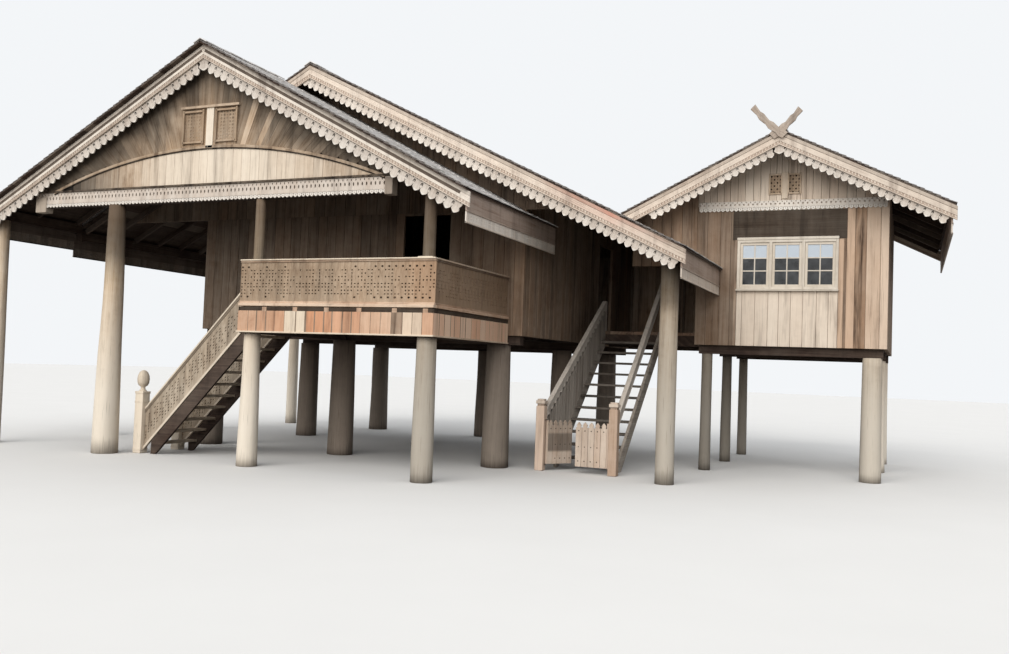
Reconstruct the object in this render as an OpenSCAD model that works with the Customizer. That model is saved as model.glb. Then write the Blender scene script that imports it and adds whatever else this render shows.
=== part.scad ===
// Timber stilt house with three gables, a carved veranda rail, two stairs and a small two-leaf gate.
// X runs along the front, Y into the depth and Z up. The ground is at Z = 0.

/* [Floor levels] */
// Top of the floor boards
floor_z = 2460; // [2300:10:2700]
// Thickness of the floor boards
deck_t = 60; // [40:5:80]
// Height of the joists under the boards
joist_h = 200; // [150:10:240]
// Height of the beams that lie on the posts
beam_h = 150; // [120:10:180]
// Width of those beams
beam_w = 150; // [120:10:180]
// Thickness of the plank walls
wall_t = 60; // [40:5:80]

/* [Left gable] */
// Ridge of the left roof
left_x = -3130; // [-3200:10:-3060]
// Height of the left ridge
left_z = 6690; // [6600:10:6780]
// Half width of the left roof
left_half = 4800; // [4700:10:4900]
// Pitch of the left roof
left_pitch = 28; // [27:0.5:29]
// Front edge of the left roof
left_front = -5050; // [-5150:10:-5000]
// How far its bargeboards stand back from its front edge
left_verge = 90; // [60:10:140]
// Half length of the left tie beam
tie_half = 3450; // [3300:10:3500]
// How much farther the tie beam runs on its left side
tie_more = 250; // [100:10:300]
// From the left ridge down to the underside of its tie beam
tie_drop = 2540; // [2500:10:2600]
// Height of the left tie beam
tie_h = 250; // [200:10:280]
// Back end of the strip of roof that runs on along the right eave
left_back = -1350; // [-1600:10:-1200]
// Row of the front posts, behind the gable panel
row_y = -4680; // [-4700:10:-4660]

/* [Middle gable] */
// Ridge of the middle roof
mid_x = -2480; // [-2520:10:-2440]
// How far the middle ridge lies over the left one
mid_rise = 210; // [190:10:260]
// Half width of its right side
mid_half = 6740; // [6640:10:6800]
// Pitch of its right side
mid_pitch = 26.4; // [26:0.1:26.8]
// Front of the middle bargeboards
mid_front = -3000; // [-3100:10:-2900]

/* [Right gable] */
// Ridge of the right roof
right_x = 5250; // [5200:10:5300]
// How far the right ridge lies under the middle one
right_drop = 1100; // [1040:10:1140]
// Half width of the right roof
right_half = 2680; // [2620:10:2700]
// Pitch of the right roof
right_pitch = 26.4; // [26:0.1:26.8]
// Front of the right bargeboards
right_front = -700; // [-900:10:-500]

/* [Roof trim] */
// Back of all the roofs
roof_back = 5015; // [4900:5:5300]
// Upright thickness of the roof covering
roof_t = 60; // [50:5:80]
// Upright height of the bargeboards
barge_h = 220; // [180:10:240]
// Thickness of the bargeboards
barge_t = 35; // [25:5:45]
// Height of the carved fringe under them
fringe_h = 160; // [120:10:180]
// Thickness of the carved fringes
fringe_t = 20; // [15:1:25]
// How far the fringe runs up behind its board
fringe_lap = 40; // [20:5:60]
// Height of the boards along the eaves
eave_h = 455; // [400:5:480]
// Thickness of the boards along the eaves
eave_t = 25; // [20:1:35]
// Distance from the roof edge to the eave board
eave_in = 60; // [40:5:80]

/* [Main house] */
// Left wall of the main house, outer face
main_x0 = -5260; // [-5400:10:-5100]
// Right wall of the main house, outer face
main_x1 = 1400; // [1360:5:1440]
// Front wall of the main house, outer face
main_y0 = -2200; // [-2250:10:-2150]
// Back wall of all the houses, outer face
back_y = 4400; // [4300:10:4500]
// From the middle ridge down to the top of the front and back walls
wall_drop = 2600; // [2500:10:2650]
// Width of the inner doorways
door_w = 900; // [800:10:1000]
// From the wall top down to the head of the doorways
door_drop = 40; // [30:10:140]

/* [Right house] */
// Left wall of the right house, outer face
right_x0 = 3790; // [3740:10:3840]
// Width of the right house
right_w = 3160; // [3060:10:3260]
// Front wall of the right house, outer face
right_y0 = 0; // [-50:10:50]
// From the right ridge down to the top of its front wall, where the gable panel starts
right_wall_drop = 1160; // [1100:10:1200]
// Window: left side
window_x0 = 4500; // [4450:10:4550]
// Window: width
window_w = 1670; // [1600:10:1750]
// Window: sill, down from the main house's wall top
window_drop = 1130; // [1080:10:1180]
// Window: height
window_h = 870; // [820:10:920]
// Width of the window's frame members
frame_w = 50; // [40:5:60]
// Width of the sash members
sash_w = 45; // [35:5:55]

/* [Veranda] */
// Left side of the veranda
ver_x0 = -2240; // [-2300:10:-2200]
// Right side of the veranda
ver_x1 = 1150; // [1120:10:1200]
// Front of the veranda
ver_y0 = -4900; // [-4950:10:-4880]
// Height of its plank skirt, down from the floor
skirt_h = 400; // [360:5:405]
// Thickness of the skirt and of the rail panels
skirt_t = 25; // [20:1:35]
// Height of the veranda rail over the floor
rail_up = 724; // [640:1:840]
// Width of the top rails
rail_w = 90; // [70:5:110]
// Thickness of the top rails
rail_t = 45; // [35:5:55]

/* [Stairs] */
// Number of steps in each flight
steps = 12; // [12:1:13]
// Going of the left flight
left_going = 196; // [190:1:200]
// Near face of the left flight
left_flight_y = -4300; // [-4350:10:-4250]
// Clear width of the left flight
left_flight_w = 850; // [800:10:900]
// Going of the centre flight
centre_going = 235; // [225:1:240]
// Centre of the centre flight
centre_x = 2315; // [2310:1:2340]
// Clear width of the centre flight
centre_w = 1060; // [1020:5:1080]
// Foot of the centre flight's strings
centre_y0 = -1380; // [-1400:10:-1340]
// Thickness of the strings
string_t = 50; // [40:5:60]
// Depth of the strings, measured upright
string_h = 300; // [260:10:340]
// Thickness of the treads
tread_t = 40; // [30:5:50]
// Height of the stair rails over the step edges
stair_rail_h = 680; // [600:10:750]

/* [Gate] */
// Width of the gate posts
gate_post = 150; // [130:5:160]
// Height of the gate posts
gate_post_h = 1130; // [1050:10:1200]
// Row of the gate posts
gate_y = -1970; // [-2000:10:-1970]
// Underside of the gate leaves
gate_z = 110; // [80:5:140]
// Height of the gate leaves
gate_h = 720; // [650:10:760]
// Thickness of the gate leaves
gate_t = 30; // [25:1:40]
// Gap beside each leaf
gate_gap = 8; // [8:1:12]
// How far the left leaf stands open, in degrees
ajar = 55; // [0:5:60]
// How much farther out the right gate post stands
gate_more = 40; // [0:10:40]

/* [Hidden] */

mid_z = left_z + mid_rise;
right_z = mid_z - right_drop;
tie_z = left_z - tie_drop;
wall_top = mid_z - wall_drop;
right_wall_top = right_z - right_wall_drop;
window_z0 = wall_top - window_drop;
door_z1 = wall_top - door_drop;
skirt_z = floor_z - skirt_h;
rail_z = floor_z + rail_up;
left_k = tan(left_pitch);
mid_k = tan(mid_pitch);
right_k = tan(right_pitch);
left_eave = left_x - left_half;
left_eave_r = left_x + left_half;
mid_eave = mid_x + mid_half;
right_eave_l = right_x - right_half;
right_eave = right_x + right_half;
right_x1 = right_x0 + right_w;
joist_z = floor_z - deck_t - joist_h;
beam_z = joist_z - beam_h;
rise = floor_z / steps;
trim_t = barge_t + fringe_t;
left_barge_y = left_front + left_verge;
panel_t = 30;
joint = 0.5;
panel_y = row_y - 60 - panel_t;
back_in = back_y - wall_t;
plate_w = 140;
plate_h = 180;
ridge_w = 120;
ridge_beam_h = 170;
valley_x = right_eave_l + 55;
left_plate = 4060;
outer_plate = 4585;
mid_plate_x = 3910;
tie_post_in = 1550;
tie_post_x = left_x - tie_half + tie_post_in;
tie_w = 120;
panel_over = 110;
mid_post_y = -2450;
joist_w = 60;
// Radii of the round posts, foot and head
tie_post_r = [222, 137];
eave_post_r = [150, 110];
mid_tall_r = [152, 145];
ver_post_r = [[165, 128], [168, 150]];
roof_post_r = [[85, 80], [95, 90]];
main_post_r = [235, 205];
right_post_r = [[105, 95], [180, 160]];
ver_post_in = [130, 200];
rail_h = 200;
hand_rail_w = 80;
// Left and right stair rail: foot below the gate post's top, head over the hall floor
rail_drop = [95, 317];
head_rail_h = [590, 1040];
head_post = 80;
picket_rise = 50;
pickets = 5;
pivot_gap = 0.3;
bracket_t = 12;
bracket_l = 25;
centre_x0 = centre_x - centre_w / 2;
centre_x1 = centre_x + centre_w / 2;
gate_x1 = centre_x1 + gate_more;
hall_y0 = centre_y0 + centre_going * (steps - 1);
post_x = [main_x0 + 210, -2120, 930];
post_y = [main_y0 + 150, 1100, back_y - 200];
right_post_x = [right_x0 + 200, right_x1 - 225];
right_post_y = [right_y0 + 200, 2200, back_y - 200];
left_run = left_going * (steps - 1);
left_foot = ver_x0 - left_run;
leaf_w = (centre_w - 3 * gate_gap) / 2;

door_x0 = -900;
side_door_y0 = 1900;
back_window_x = -2235;
right_back_window_x = right_x0 + (right_w - window_w) / 2;
sash_size = (window_w - 4 * frame_w) / 3;
sash_pitch = sash_size + frame_w;
sash_t = 35;
sash_in = 10;
glass_t = 5;
horn_l = 700;
horn_w = 110;
horn_t = 30;
horn_lap = 10;
horn_foot = 150;
newel = 175;
newel_h = 1030;
newel_out = 172;
// Half outline of the turned bud on a newel, for a newel one unit wide
bud = [[0, 0], [0.34, 0], [0.36, 0.14], [0.22, 0.24], [0.22, 0.48], [0.42, 0.6], [0.55, 0.85],
       [0.58, 1.2], [0.55, 1.55], [0.4, 1.88], [0.2, 2.05], [0, 2.1]];
flight_y1 = left_flight_y + string_t + left_flight_w;
// Small lights, side by side under a ridge: [offset from the ridge, sill, width, height]
light_drop = 1590;
right_light_drop = 970;
left_lights = [[-470, left_z - light_drop, 400, 500], [190, left_z - light_drop, 400, 500]];
right_lights = [[-230, right_z - right_light_drop, 200, 330], [80, right_z - right_light_drop, 200, 330]];

// Height of each roof's upper face over a point of the front
function left_top(x) = left_z - left_k * abs(x - left_x);
function mid_top(x) = mid_z - (x < mid_x ? left_k * (mid_x - x) : mid_k * (x - mid_x));
function right_top(x) = right_z - right_k * abs(x - right_x);
// What lies under a roof ends one joint below its underside
function left_under(x) = left_top(x) - roof_t - joint;
function mid_under(x) = mid_top(x) - roof_t - joint;
function right_under(x) = right_top(x) - roof_t - joint;

// An outline in X and Z, drawn out from y0 to y1
module along_y(y0, y1) {
  translate([0, y1, 0]) rotate([90, 0, 0]) linear_extrude(y1 - y0) children();
}

// An outline in Y and Z, drawn out from x0 to x1
module along_x(x0, x1) {
  translate([x0, 0, 0]) rotate([90, 0, 90]) linear_extrude(x1 - x0) children();
}

// A box between two corners
module block(a, b) {
  translate(a) cube(b - a);
}

// A strip of upright height h under the line from (x0, z0) to (x1, z1)
module strip(x0, z0, x1, z1, h) {
  polygon([[x0, z0 - h], [x1, z1 - h], [x1, z1], [x0, z0]]);
}

// A round post that tapers from its foot to its head
module post(x, y, z0, z1, r) {
  translate([x, y, z0]) cylinder(h = z1 - z0, r1 = r[0], r2 = r[1], $fn = 48);
}

// Tall posts that carry the tie beam and the plates along the eaves
module tall_posts() {
  xl = left_x - outer_plate;
  color("tan") {
    post(tie_post_x, row_y, 0, tie_z, tie_post_r);
    post(xl, row_y, 0, left_under(xl - plate_w / 2) - plate_h, eave_post_r);
    for (y = post_y) post(xl, y, 0, mid_under(xl - plate_w / 2) - plate_h, eave_post_r);
    post(mid_plate_x, mid_post_y, 0, mid_under(mid_plate_x + plate_w / 2) - plate_h, mid_tall_r);
  }
}

module veranda_posts() {
  color("burlywood") {
    post(ver_x0 + ver_post_in[0], row_y, 0, beam_z, ver_post_r[0]);
    post(ver_x1 - ver_post_in[1], row_y, 0, beam_z, ver_post_r[1]);
  }
}

module veranda_roof_posts() {
  xr = left_x + left_plate;
  color("burlywood") {
    post(ver_x0 + rail_w + roof_post_r[0][0], row_y, floor_z, tie_z, roof_post_r[0]);
    post(xr, row_y, floor_z, left_under(xr + plate_w / 2) - plate_h, roof_post_r[1]);
  }
}

module main_posts() {
  color("dimgray") for (x = post_x, y = post_y) post(x, y, 0, beam_z, main_post_r);
}

module right_posts() {
  color("burlywood") for (i = [0, 1], y = right_post_y) post(right_post_x[i], y, 0, beam_z, right_post_r[i]);
}

// Evenly spaced joists from x0 to x1, n spaces, between y0 and y1
module joists(x0, x1, n, y0, y1) {
  for (i = [0 : n]) translate([x0 + i * (x1 - joist_w - x0) / n, 0, 0])
    block([0, y0, joist_z], [joist_w, y1, floor_z - deck_t]);
}

module floor_beams() {
  y0 = ver_y0 + skirt_t;
  side_w = beam_w + 65;
  color("saddlebrown") {
    for (x = [ver_x0 + skirt_t, ver_x1 - skirt_t - side_w])
      block([x, y0, beam_z], [x + side_w, main_y0, joist_z]);
    for (y = post_y)
      block([main_x0 + wall_t, y - beam_w / 2, beam_z], [main_x1 - wall_t, y + beam_w / 2, joist_z]);
    for (y = right_post_y)
      block([right_x0 + wall_t, y - beam_w / 2, beam_z], [right_x1 - wall_t, y + beam_w / 2, joist_z]);
  }
}

module floor_joists() {
  hall_joist = 80;
  color("saddlebrown") {
    joists(ver_x0 + skirt_t, ver_x1 - skirt_t, 6, ver_y0 + skirt_t, main_y0);
    joists(main_x0 + wall_t, main_x1 - wall_t, 10, main_y0 + wall_t, back_in);
    joists(right_x0 + wall_t, right_x1 - wall_t, 5, right_y0 + wall_t, back_in);
    for (i = [0 : 2]) translate([0, hall_y0 + i * (back_in - hall_joist - hall_y0) / 2, 0])
      block([main_x1, 0, joist_z], [right_x0, hall_joist, floor_z - deck_t]);
  }
}

module veranda_floor() {
  color("peru")
    block([ver_x0 + skirt_t, ver_y0 + skirt_t, floor_z - deck_t], [ver_x1 - skirt_t, main_y0, floor_z]);
}

module veranda_skirt() {
  color("sandybrown") {
    block([ver_x0, ver_y0, skirt_z], [ver_x1, ver_y0 + skirt_t, floor_z]);
    for (x = [ver_x0, ver_x1 - skirt_t])
      block([x, ver_y0 + skirt_t + joint, skirt_z], [x + skirt_t, main_y0, floor_z]);
  }
}

// A rail of one bay: foot, carved panel and top rail, drawn along X
module rail_bay(length) {
  foot_h = 70;
  block([0, 0, floor_z], [length, rail_w, floor_z + foot_h]);
  block([0, (rail_w - skirt_t) / 2, floor_z + foot_h], [length, (rail_w + skirt_t) / 2, rail_z - rail_t]);
  block([0, 0, rail_z - rail_t], [length, rail_w, rail_z]);
}

module veranda_rails() {
  side_y0 = ver_y0 + rail_w + joint;
  open_y0 = left_flight_y + string_t;
  open_y1 = open_y0 + left_flight_w;
  color("wheat") {
    translate([ver_x0, ver_y0, 0]) rail_bay(ver_x1 - ver_x0);
    translate([ver_x1, side_y0, 0]) rotate([0, 0, 90]) rail_bay(main_y0 - side_y0);
    translate([ver_x0 + rail_w, side_y0, 0]) rotate([0, 0, 90]) rail_bay(open_y0 - side_y0);
    translate([ver_x0 + rail_w, open_y1, 0]) rotate([0, 0, 90]) rail_bay(main_y0 - open_y1);
  }
}

module room_floors() {
  color("peru") {
    block([main_x0 + wall_t, main_y0 + wall_t, floor_z - deck_t], [main_x1 - wall_t, back_in, floor_z]);
    block([right_x0 + wall_t, right_y0 + wall_t, floor_z - deck_t], [right_x1 - wall_t, back_in, floor_z]);
  }
}

module hall_floor() {
  color("peru") block([main_x1, hall_y0, floor_z - deck_t], [right_x0, back_in, floor_z]);
}

// Front wall with the doorway from the veranda
module main_front_wall() {
  color("peru") {
    block([main_x0, main_y0, joist_z], [door_x0, main_y0 + wall_t, wall_top]);
    block([door_x0 + door_w, main_y0, joist_z], [main_x1, main_y0 + wall_t, wall_top]);
    block([door_x0, main_y0, door_z1], [door_x0 + door_w, main_y0 + wall_t, wall_top]);
    block([door_x0, main_y0, joist_z], [door_x0 + door_w, main_y0 + wall_t, floor_z]);
  }
}

module main_back_wall() {
  color("peru") difference() {
    block([main_x0, back_in, joist_z], [main_x1, back_y, wall_top]);
    window_hole(back_window_x, back_y);
  }
}

module main_left_wall() {
  color("peru") along_y(main_y0 + wall_t, back_in)
    polygon([[main_x0, joist_z], [main_x0 + wall_t, joist_z],
             [main_x0 + wall_t, mid_under(main_x0 + wall_t)], [main_x0, mid_under(main_x0)]]);
}

module main_right_wall() {
  x0 = main_x1 - wall_t;
  top = [[x0, mid_under(x0)], [main_x1, mid_under(main_x1)]];
  color("peru") difference() {
    along_y(main_y0 + wall_t, back_in)
      polygon(concat([[main_x1, joist_z], [x0, joist_z]], top));
    block([x0 - 1, side_door_y0, floor_z], [main_x1 + 1, side_door_y0 + door_w, door_z1]);
  }
}

// Back wall of the hall, and the panel in the step between the middle and right roofs
module hall_walls() {
  color("peru") {
    along_y(back_in, back_y)
      polygon([[main_x1, joist_z], [right_x0, joist_z], [right_x0, right_under(right_x0)],
               [valley_x, right_under(valley_x)], [valley_x, mid_under(valley_x)],
               [main_x1, mid_under(main_x1)]]);
    along_y(right_y0, right_y0 + wall_t)
      polygon([[valley_x, mid_under(valley_x)], [right_x0, mid_under(right_x0)],
               [right_x0, right_under(right_x0)], [valley_x, right_under(valley_x)]]);
  }
}

// Triangle of a gable between the roof's underside and a level line
module mid_triangle() {
  x0 = mid_x - (mid_under(mid_x) - wall_top) / left_k;
  x1 = mid_x + (mid_under(mid_x) - wall_top) / mid_k;
  polygon([[x0, wall_top], [x1, wall_top], [mid_x, mid_under(mid_x)]]);
}

module middle_gable_panels() {
  color("sienna") difference() {
    union() {
      along_y(main_y0, main_y0 + wall_t) mid_triangle();
      along_y(back_in, back_y) intersection() {
        mid_triangle();
        translate([main_x0, 0]) square([main_x1 - main_x0, mid_z]);
      }
    }
    mid_ridge_beam();
  }
}

// Hole for a window of the common size, cut through a wall whose outer face is at y
module window_hole(x0, y) {
  block([x0, y - wall_t - 1, window_z0], [x0 + window_w, y + wall_t + 1, window_z0 + window_h]);
}

module right_front_wall() {
  color("rosybrown") difference() {
    block([right_x0, right_y0, joist_z], [right_x1, right_y0 + wall_t, right_wall_top]);
    window_hole(window_x0, right_y0);
  }
}

module right_back_wall() {
  color("rosybrown") difference() {
    block([right_x0, back_in, joist_z], [right_x1, back_y, right_wall_top]);
    window_hole(right_back_window_x, back_y);
  }
}

module right_left_wall() {
  x1 = right_x0 + wall_t;
  color("rosybrown") difference() {
    along_y(right_y0 + wall_t, back_in)
      polygon([[right_x0, joist_z], [x1, joist_z], [x1, right_under(x1)], [right_x0, right_under(right_x0)]]);
    block([right_x0 - 1, side_door_y0, floor_z], [x1 + 1, side_door_y0 + door_w, door_z1]);
  }
}

module right_right_wall() {
  x0 = right_x1 - wall_t;
  color("rosybrown") along_y(right_y0 + wall_t, back_in)
    polygon([[x0, joist_z], [right_x1, joist_z], [right_x1, right_under(right_x1)], [x0, right_under(x0)]]);
}

module light_holes(x, lights) {
  for (l = lights) translate([x + l[0], l[1]]) square([l[2], l[3]]);
}

module right_gable_panels() {
  color("rosybrown") difference() {
    for (y = [right_y0, back_in]) along_y(y, y + wall_t) difference() {
      polygon([[right_x0, right_wall_top], [right_x1, right_wall_top], [right_x1, right_under(right_x1)],
               [right_x, right_under(right_x)], [right_x0, right_under(right_x0)]]);
      if (y == right_y0) light_holes(right_x, right_lights);
    }
    right_ridge_beam();
  }
}

module frame_at(x0, y0) {
  z1 = window_z0 + window_h;
  translate([x0, y0, 0]) difference() {
    block([0, 0, window_z0], [window_w, wall_t, z1]);
    for (i = [0 : 2])
      block([frame_w + i * sash_pitch, -1, window_z0 + frame_w],
            [frame_w + i * sash_pitch + sash_size, wall_t + 1, z1 - frame_w]);
  }
}

module window_frames() {
  color("beige") {
    frame_at(window_x0, right_y0);
    frame_at(right_back_window_x, back_in);
    frame_at(back_window_x, back_in);
  }
}

// Three sashes of one window, each with its middle bars
module sashes_at(x0, y0) {
  z0 = window_z0 + frame_w;
  z1 = window_z0 + window_h - frame_w;
  for (i = [0 : 2]) translate([x0 + frame_w + i * sash_pitch, y0, 0]) difference() {
    block([0, 0, z0], [sash_size, sash_t, z1]);
    block([sash_w, -1, z0 + sash_w], [sash_size - sash_w, sash_t + 1, z1 - sash_w]);
  }
}

module window_sashes() {
  color("beige") {
    sashes_at(window_x0, right_y0 + sash_in);
    sashes_at(right_back_window_x, back_y - sash_in - sash_t);
    sashes_at(back_window_x, back_y - sash_in - sash_t);
  }
}

module glass_at(x0, y0) {
  z0 = window_z0 + frame_w + sash_w;
  z1 = window_z0 + window_h - frame_w - sash_w;
  for (i = [0 : 2]) translate([x0 + frame_w + i * sash_pitch, y0, 0])
    block([sash_w, 0, z0], [sash_size - sash_w, glass_t, z1]);
}

module window_glass() {
  mid_y = sash_in + (sash_t - glass_t) / 2;
  color("lightsteelblue") {
    glass_at(window_x0, right_y0 + mid_y);
    glass_at(right_back_window_x, back_y - mid_y - glass_t);
    glass_at(back_window_x, back_y - mid_y - glass_t);
  }
}

module left_gable_panel() {
  z0 = tie_z + tie_h;
  side = tie_half + panel_over;
  color("tan") difference() {
    along_y(panel_y, panel_y + panel_t) difference() {
      polygon([[left_x - side, z0], [left_x + side, z0], [left_x + side, left_under(left_x + side)],
               [left_x, left_under(left_x)], [left_x - side, left_under(left_x - side)]]);
      light_holes(left_x, left_lights);
    }
    left_ridge_beam();
  }
}

module left_tie_beam() {
  color("saddlebrown")
    block([left_x - tie_half - tie_more, panel_y + panel_t, tie_z],
          [left_x + tie_half, panel_y + panel_t + tie_w, tie_z + tie_h]);
}

module carved_tie_boards() {
  color("wheat") {
    block([left_x - tie_half - tie_more, panel_y, tie_z], [left_x + tie_half, panel_y + panel_t, tie_z + tie_h]);
    block([right_x0, right_y0 - panel_t, right_wall_top - 100], [right_x1, right_y0, right_wall_top + 70]);
  }
}

// A beam whose peaked top fits under a ridge
module ridge_beam(x, z, k_l, k_r, y0, y1) {
  w = ridge_w / 2;
  z1 = z - roof_t - joint;
  along_y(y0, y1)
    polygon([[x - w, z1 - ridge_beam_h], [x + w, z1 - ridge_beam_h], [x + w, z1 - w * k_r], [x, z1],
             [x - w, z1 - w * k_l]]);
}

module left_ridge_beam() {
  ridge_beam(left_x, left_z, left_k, left_k, left_barge_y + trim_t, mid_front);
}

module mid_ridge_beam() {
  ridge_beam(mid_x, mid_z, left_k, mid_k, mid_front + trim_t, roof_back);
}

module right_ridge_beam() {
  ridge_beam(right_x, right_z, right_k, right_k, right_front + trim_t, roof_back);
}

// A level plate from y0 to y1 whose outer top edge lies on the roof's underside at z1
module plate(x, y0, y1, z1) {
  block([x - plate_w / 2, y0, z1 - plate_h], [x + plate_w / 2, y1, z1]);
}

module roof_beams() {
  xl = left_x - outer_plate;
  xr = left_x + left_plate;
  color("saddlebrown") {
    left_ridge_beam();
    mid_ridge_beam();
    right_ridge_beam();
    plate(xr, left_barge_y + trim_t, main_y0, left_under(xr + plate_w / 2));
    plate(xl, left_barge_y + trim_t, mid_front, left_under(xl - plate_w / 2));
    plate(xl, mid_front, roof_back, mid_under(xl - plate_w / 2));
    plate(mid_plate_x, mid_front + trim_t, right_y0, mid_under(mid_plate_x + plate_w / 2));
  }
}

module left_roof_slopes() {
  cut_x = left_x + 300;
  color("gray") {
    along_y(left_front, mid_front + 100)
      strip(left_eave, left_top(left_eave), left_x, left_z, roof_t);
    along_y(left_front, mid_front)
      strip(left_x, left_z, left_eave_r, left_top(left_eave_r), roof_t);
    along_y(mid_front, main_y0)
      strip(cut_x, left_top(cut_x), left_eave_r, left_top(left_eave_r), roof_t);
    along_y(main_y0, left_back)
      strip(main_x1 + joint, left_top(main_x1 + joint), left_eave_r, left_top(left_eave_r), roof_t);
  }
}

module middle_left_slope() {
  color("gray") along_y(mid_front, roof_back)
    strip(left_eave, mid_top(left_eave), mid_x, mid_z, roof_t);
}

module middle_right_slope() {
  color("gray") {
    along_y(mid_front, right_y0) strip(mid_x, mid_z, mid_eave, mid_top(mid_eave), roof_t);
    along_y(right_y0, roof_back) strip(mid_x, mid_z, valley_x, mid_top(valley_x), roof_t);
  }
}

module right_left_slope() {
  color("gray") along_y(right_front, roof_back)
    strip(right_eave_l, right_top(right_eave_l), right_x, right_z, roof_t);
}

module right_right_slope() {
  color("gray") along_y(right_front, roof_back)
    strip(right_x, right_z, right_eave, right_top(right_eave), roof_t);
}

// Outline of a pair of boards under a roof: d is how far below the roof's underside they start
module pair(x, z, half_l, half_r, k_l, k_r, d, h) {
  j = joint / 2;
  z1 = z - d - joint;
  strip(x - half_l, z1 - k_l * half_l, x - j, z1 - k_l * j, h);
  strip(x + j, z1 - k_r * j, x + half_r, z1 - k_r * half_r, h);
}

// Everything under the left roof's upper face, seen from the front
module under_left() {
  polygon([[left_eave, left_top(left_eave) + joint], [left_x, left_z + joint],
           [left_eave_r, left_top(left_eave_r) + joint], [left_eave_r, 0], [left_eave, 0]]);
}

// Everything under the middle roof's upper face, seen from the front
module under_middle() {
  polygon([[mid_x, mid_z + joint], [mid_eave, mid_top(mid_eave) + joint], [mid_eave, 0], [mid_x, 0]]);
}

module left_bargeboards() {
  color("rosybrown") along_y(left_barge_y, left_barge_y + barge_t)
    pair(left_x, left_z, left_half, left_half, left_k, left_k, roof_t, barge_h);
}

module middle_bargeboards() {
  color("rosybrown") along_y(mid_front, mid_front + barge_t) difference() {
    pair(mid_x, mid_z, mid_x - left_eave, mid_half, left_k, mid_k, roof_t, barge_h);
    under_left();
  }
}

module right_bargeboards() {
  color("rosybrown") along_y(right_front, right_front + barge_t) difference() {
    pair(right_x, right_z, right_half, right_half, right_k, right_k, roof_t, barge_h);
    under_middle();
  }
}

module back_bargeboards() {
  color("rosybrown") along_y(roof_back, roof_back + barge_t) {
    pair(mid_x, mid_z, mid_x - left_eave, valley_x - joint - mid_x, left_k, mid_k, roof_t, barge_h);
    pair(right_x, right_z, right_x - valley_x, right_half, right_k, right_k, roof_t, barge_h);
  }
}

module barge_fringes() {
  d = roof_t + barge_h - fringe_lap;
  h = fringe_h + fringe_lap;
  color("wheat") {
    along_y(left_barge_y + barge_t, left_barge_y + trim_t)
      pair(left_x, left_z, left_half, left_half, left_k, left_k, d, h);
    along_y(mid_front + barge_t, mid_front + trim_t) difference() {
      strip(mid_x, mid_z - d, mid_eave, mid_top(mid_eave) - d, h);
      under_left();
    }
    along_y(right_front + barge_t, right_front + trim_t) difference() {
      pair(right_x, right_z, right_half, right_half, right_k, right_k, d, h);
      under_middle();
    }
  }
}

// A board along an eave: x is the roof's edge, s is +1 on the right and -1 on the left
module eave_board(x, s, y0, y1, z1) {
  outer = x - s * eave_in;
  inner = outer - s * eave_t;
  block([min(outer, inner), y0, z1 - eave_h], [max(outer, inner), y1, z1]);
}

module eave_boards() {
  color("burlywood") {
    eave_board(left_eave_r, 1, left_barge_y + trim_t, left_back, left_under(left_eave_r - eave_in));
    eave_board(left_eave, -1, left_barge_y + trim_t, mid_front, left_under(left_eave + eave_in));
    eave_board(left_eave, -1, mid_front + 1, roof_back, mid_under(left_eave + eave_in));
    eave_board(mid_eave, 1, mid_front + trim_t, right_y0, mid_under(mid_eave - eave_in));
    eave_board(right_eave, 1, right_front + trim_t, roof_back, right_under(right_eave - eave_in));
  }
}

// Two carved horns, halved into each other, that cross over the right gable's apex
module crossed_finial() {
  color("sienna") for (s = [-1, 1])
    translate([right_x, right_front - (s > 0 ? horn_t : 2 * horn_t - horn_lap), right_z - roof_t])
      rotate([0, s * 45, 0]) block([-horn_w / 2, 0, -horn_foot], [horn_w / 2, horn_t, horn_l - horn_foot]);
}

// A flight's string: the strip under its line of step edges, over a run along the first axis
module string_outline(run, top) {
  k = (top - rise) / run;
  polygon([[0, 0], [(string_h - rise) / k, 0], [run, top - string_h], [run, top], [0, rise]]);
}

module left_flight_strings() {
  color("saddlebrown") for (y = [left_flight_y, flight_y1])
    translate([left_foot, 0, 0]) along_y(y, y + string_t) string_outline(left_run, floor_z);
}

module left_flight_treads() {
  y0 = left_flight_y + string_t;
  color("peru") for (i = [1 : steps - 1])
    block([left_foot + (i - 1) * left_going, y0, i * rise - tread_t],
          [left_foot + i * left_going, y0 + left_flight_w, i * rise]);
}

// Rail of a flight: a carved panel with a top rail, over a run along the first axis and out to its newel
module flight_rail(run, k, w) {
  top_z = rise + 20 + stair_rail_h;
  along_y((w - skirt_t) / 2, (w + skirt_t) / 2)
    strip(-newel_out, top_z - newel_out * k, run, top_z + run * k, stair_rail_h);
  along_y(0, w)
    strip(-newel_out, top_z + rail_t - newel_out * k, run, top_z + rail_t + run * k, rail_t);
}

module left_flight_rails() {
  color("wheat") for (y = [left_flight_y, flight_y1])
    translate([left_foot, y, 0]) flight_rail(left_run, rise / left_going, string_t);
}

module left_newels() {
  color("burlywood") for (y = [left_flight_y, flight_y1])
    translate([left_foot - newel_out - newel, y + (string_t - newel) / 2, 0]) {
      block([0, 0, 0], [newel, newel, newel_h]);
      translate([newel / 2, newel / 2, newel_h]) scale(newel) rotate_extrude($fn = 32) polygon(bud);
    }
}

module centre_flight_strings() {
  color("dimgray") for (x = [centre_x0 - string_t, centre_x1])
    translate([0, centre_y0, 0]) along_x(x, x + string_t) string_outline(centre_going * (steps - 1), floor_z);
}

module centre_flight_treads() {
  color("dimgray") for (i = [1 : steps - 1])
    block([centre_x0, centre_y0 + (i - 1) * centre_going, i * rise - tread_t],
          [centre_x1, centre_y0 + i * centre_going, i * rise]);
}

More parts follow.
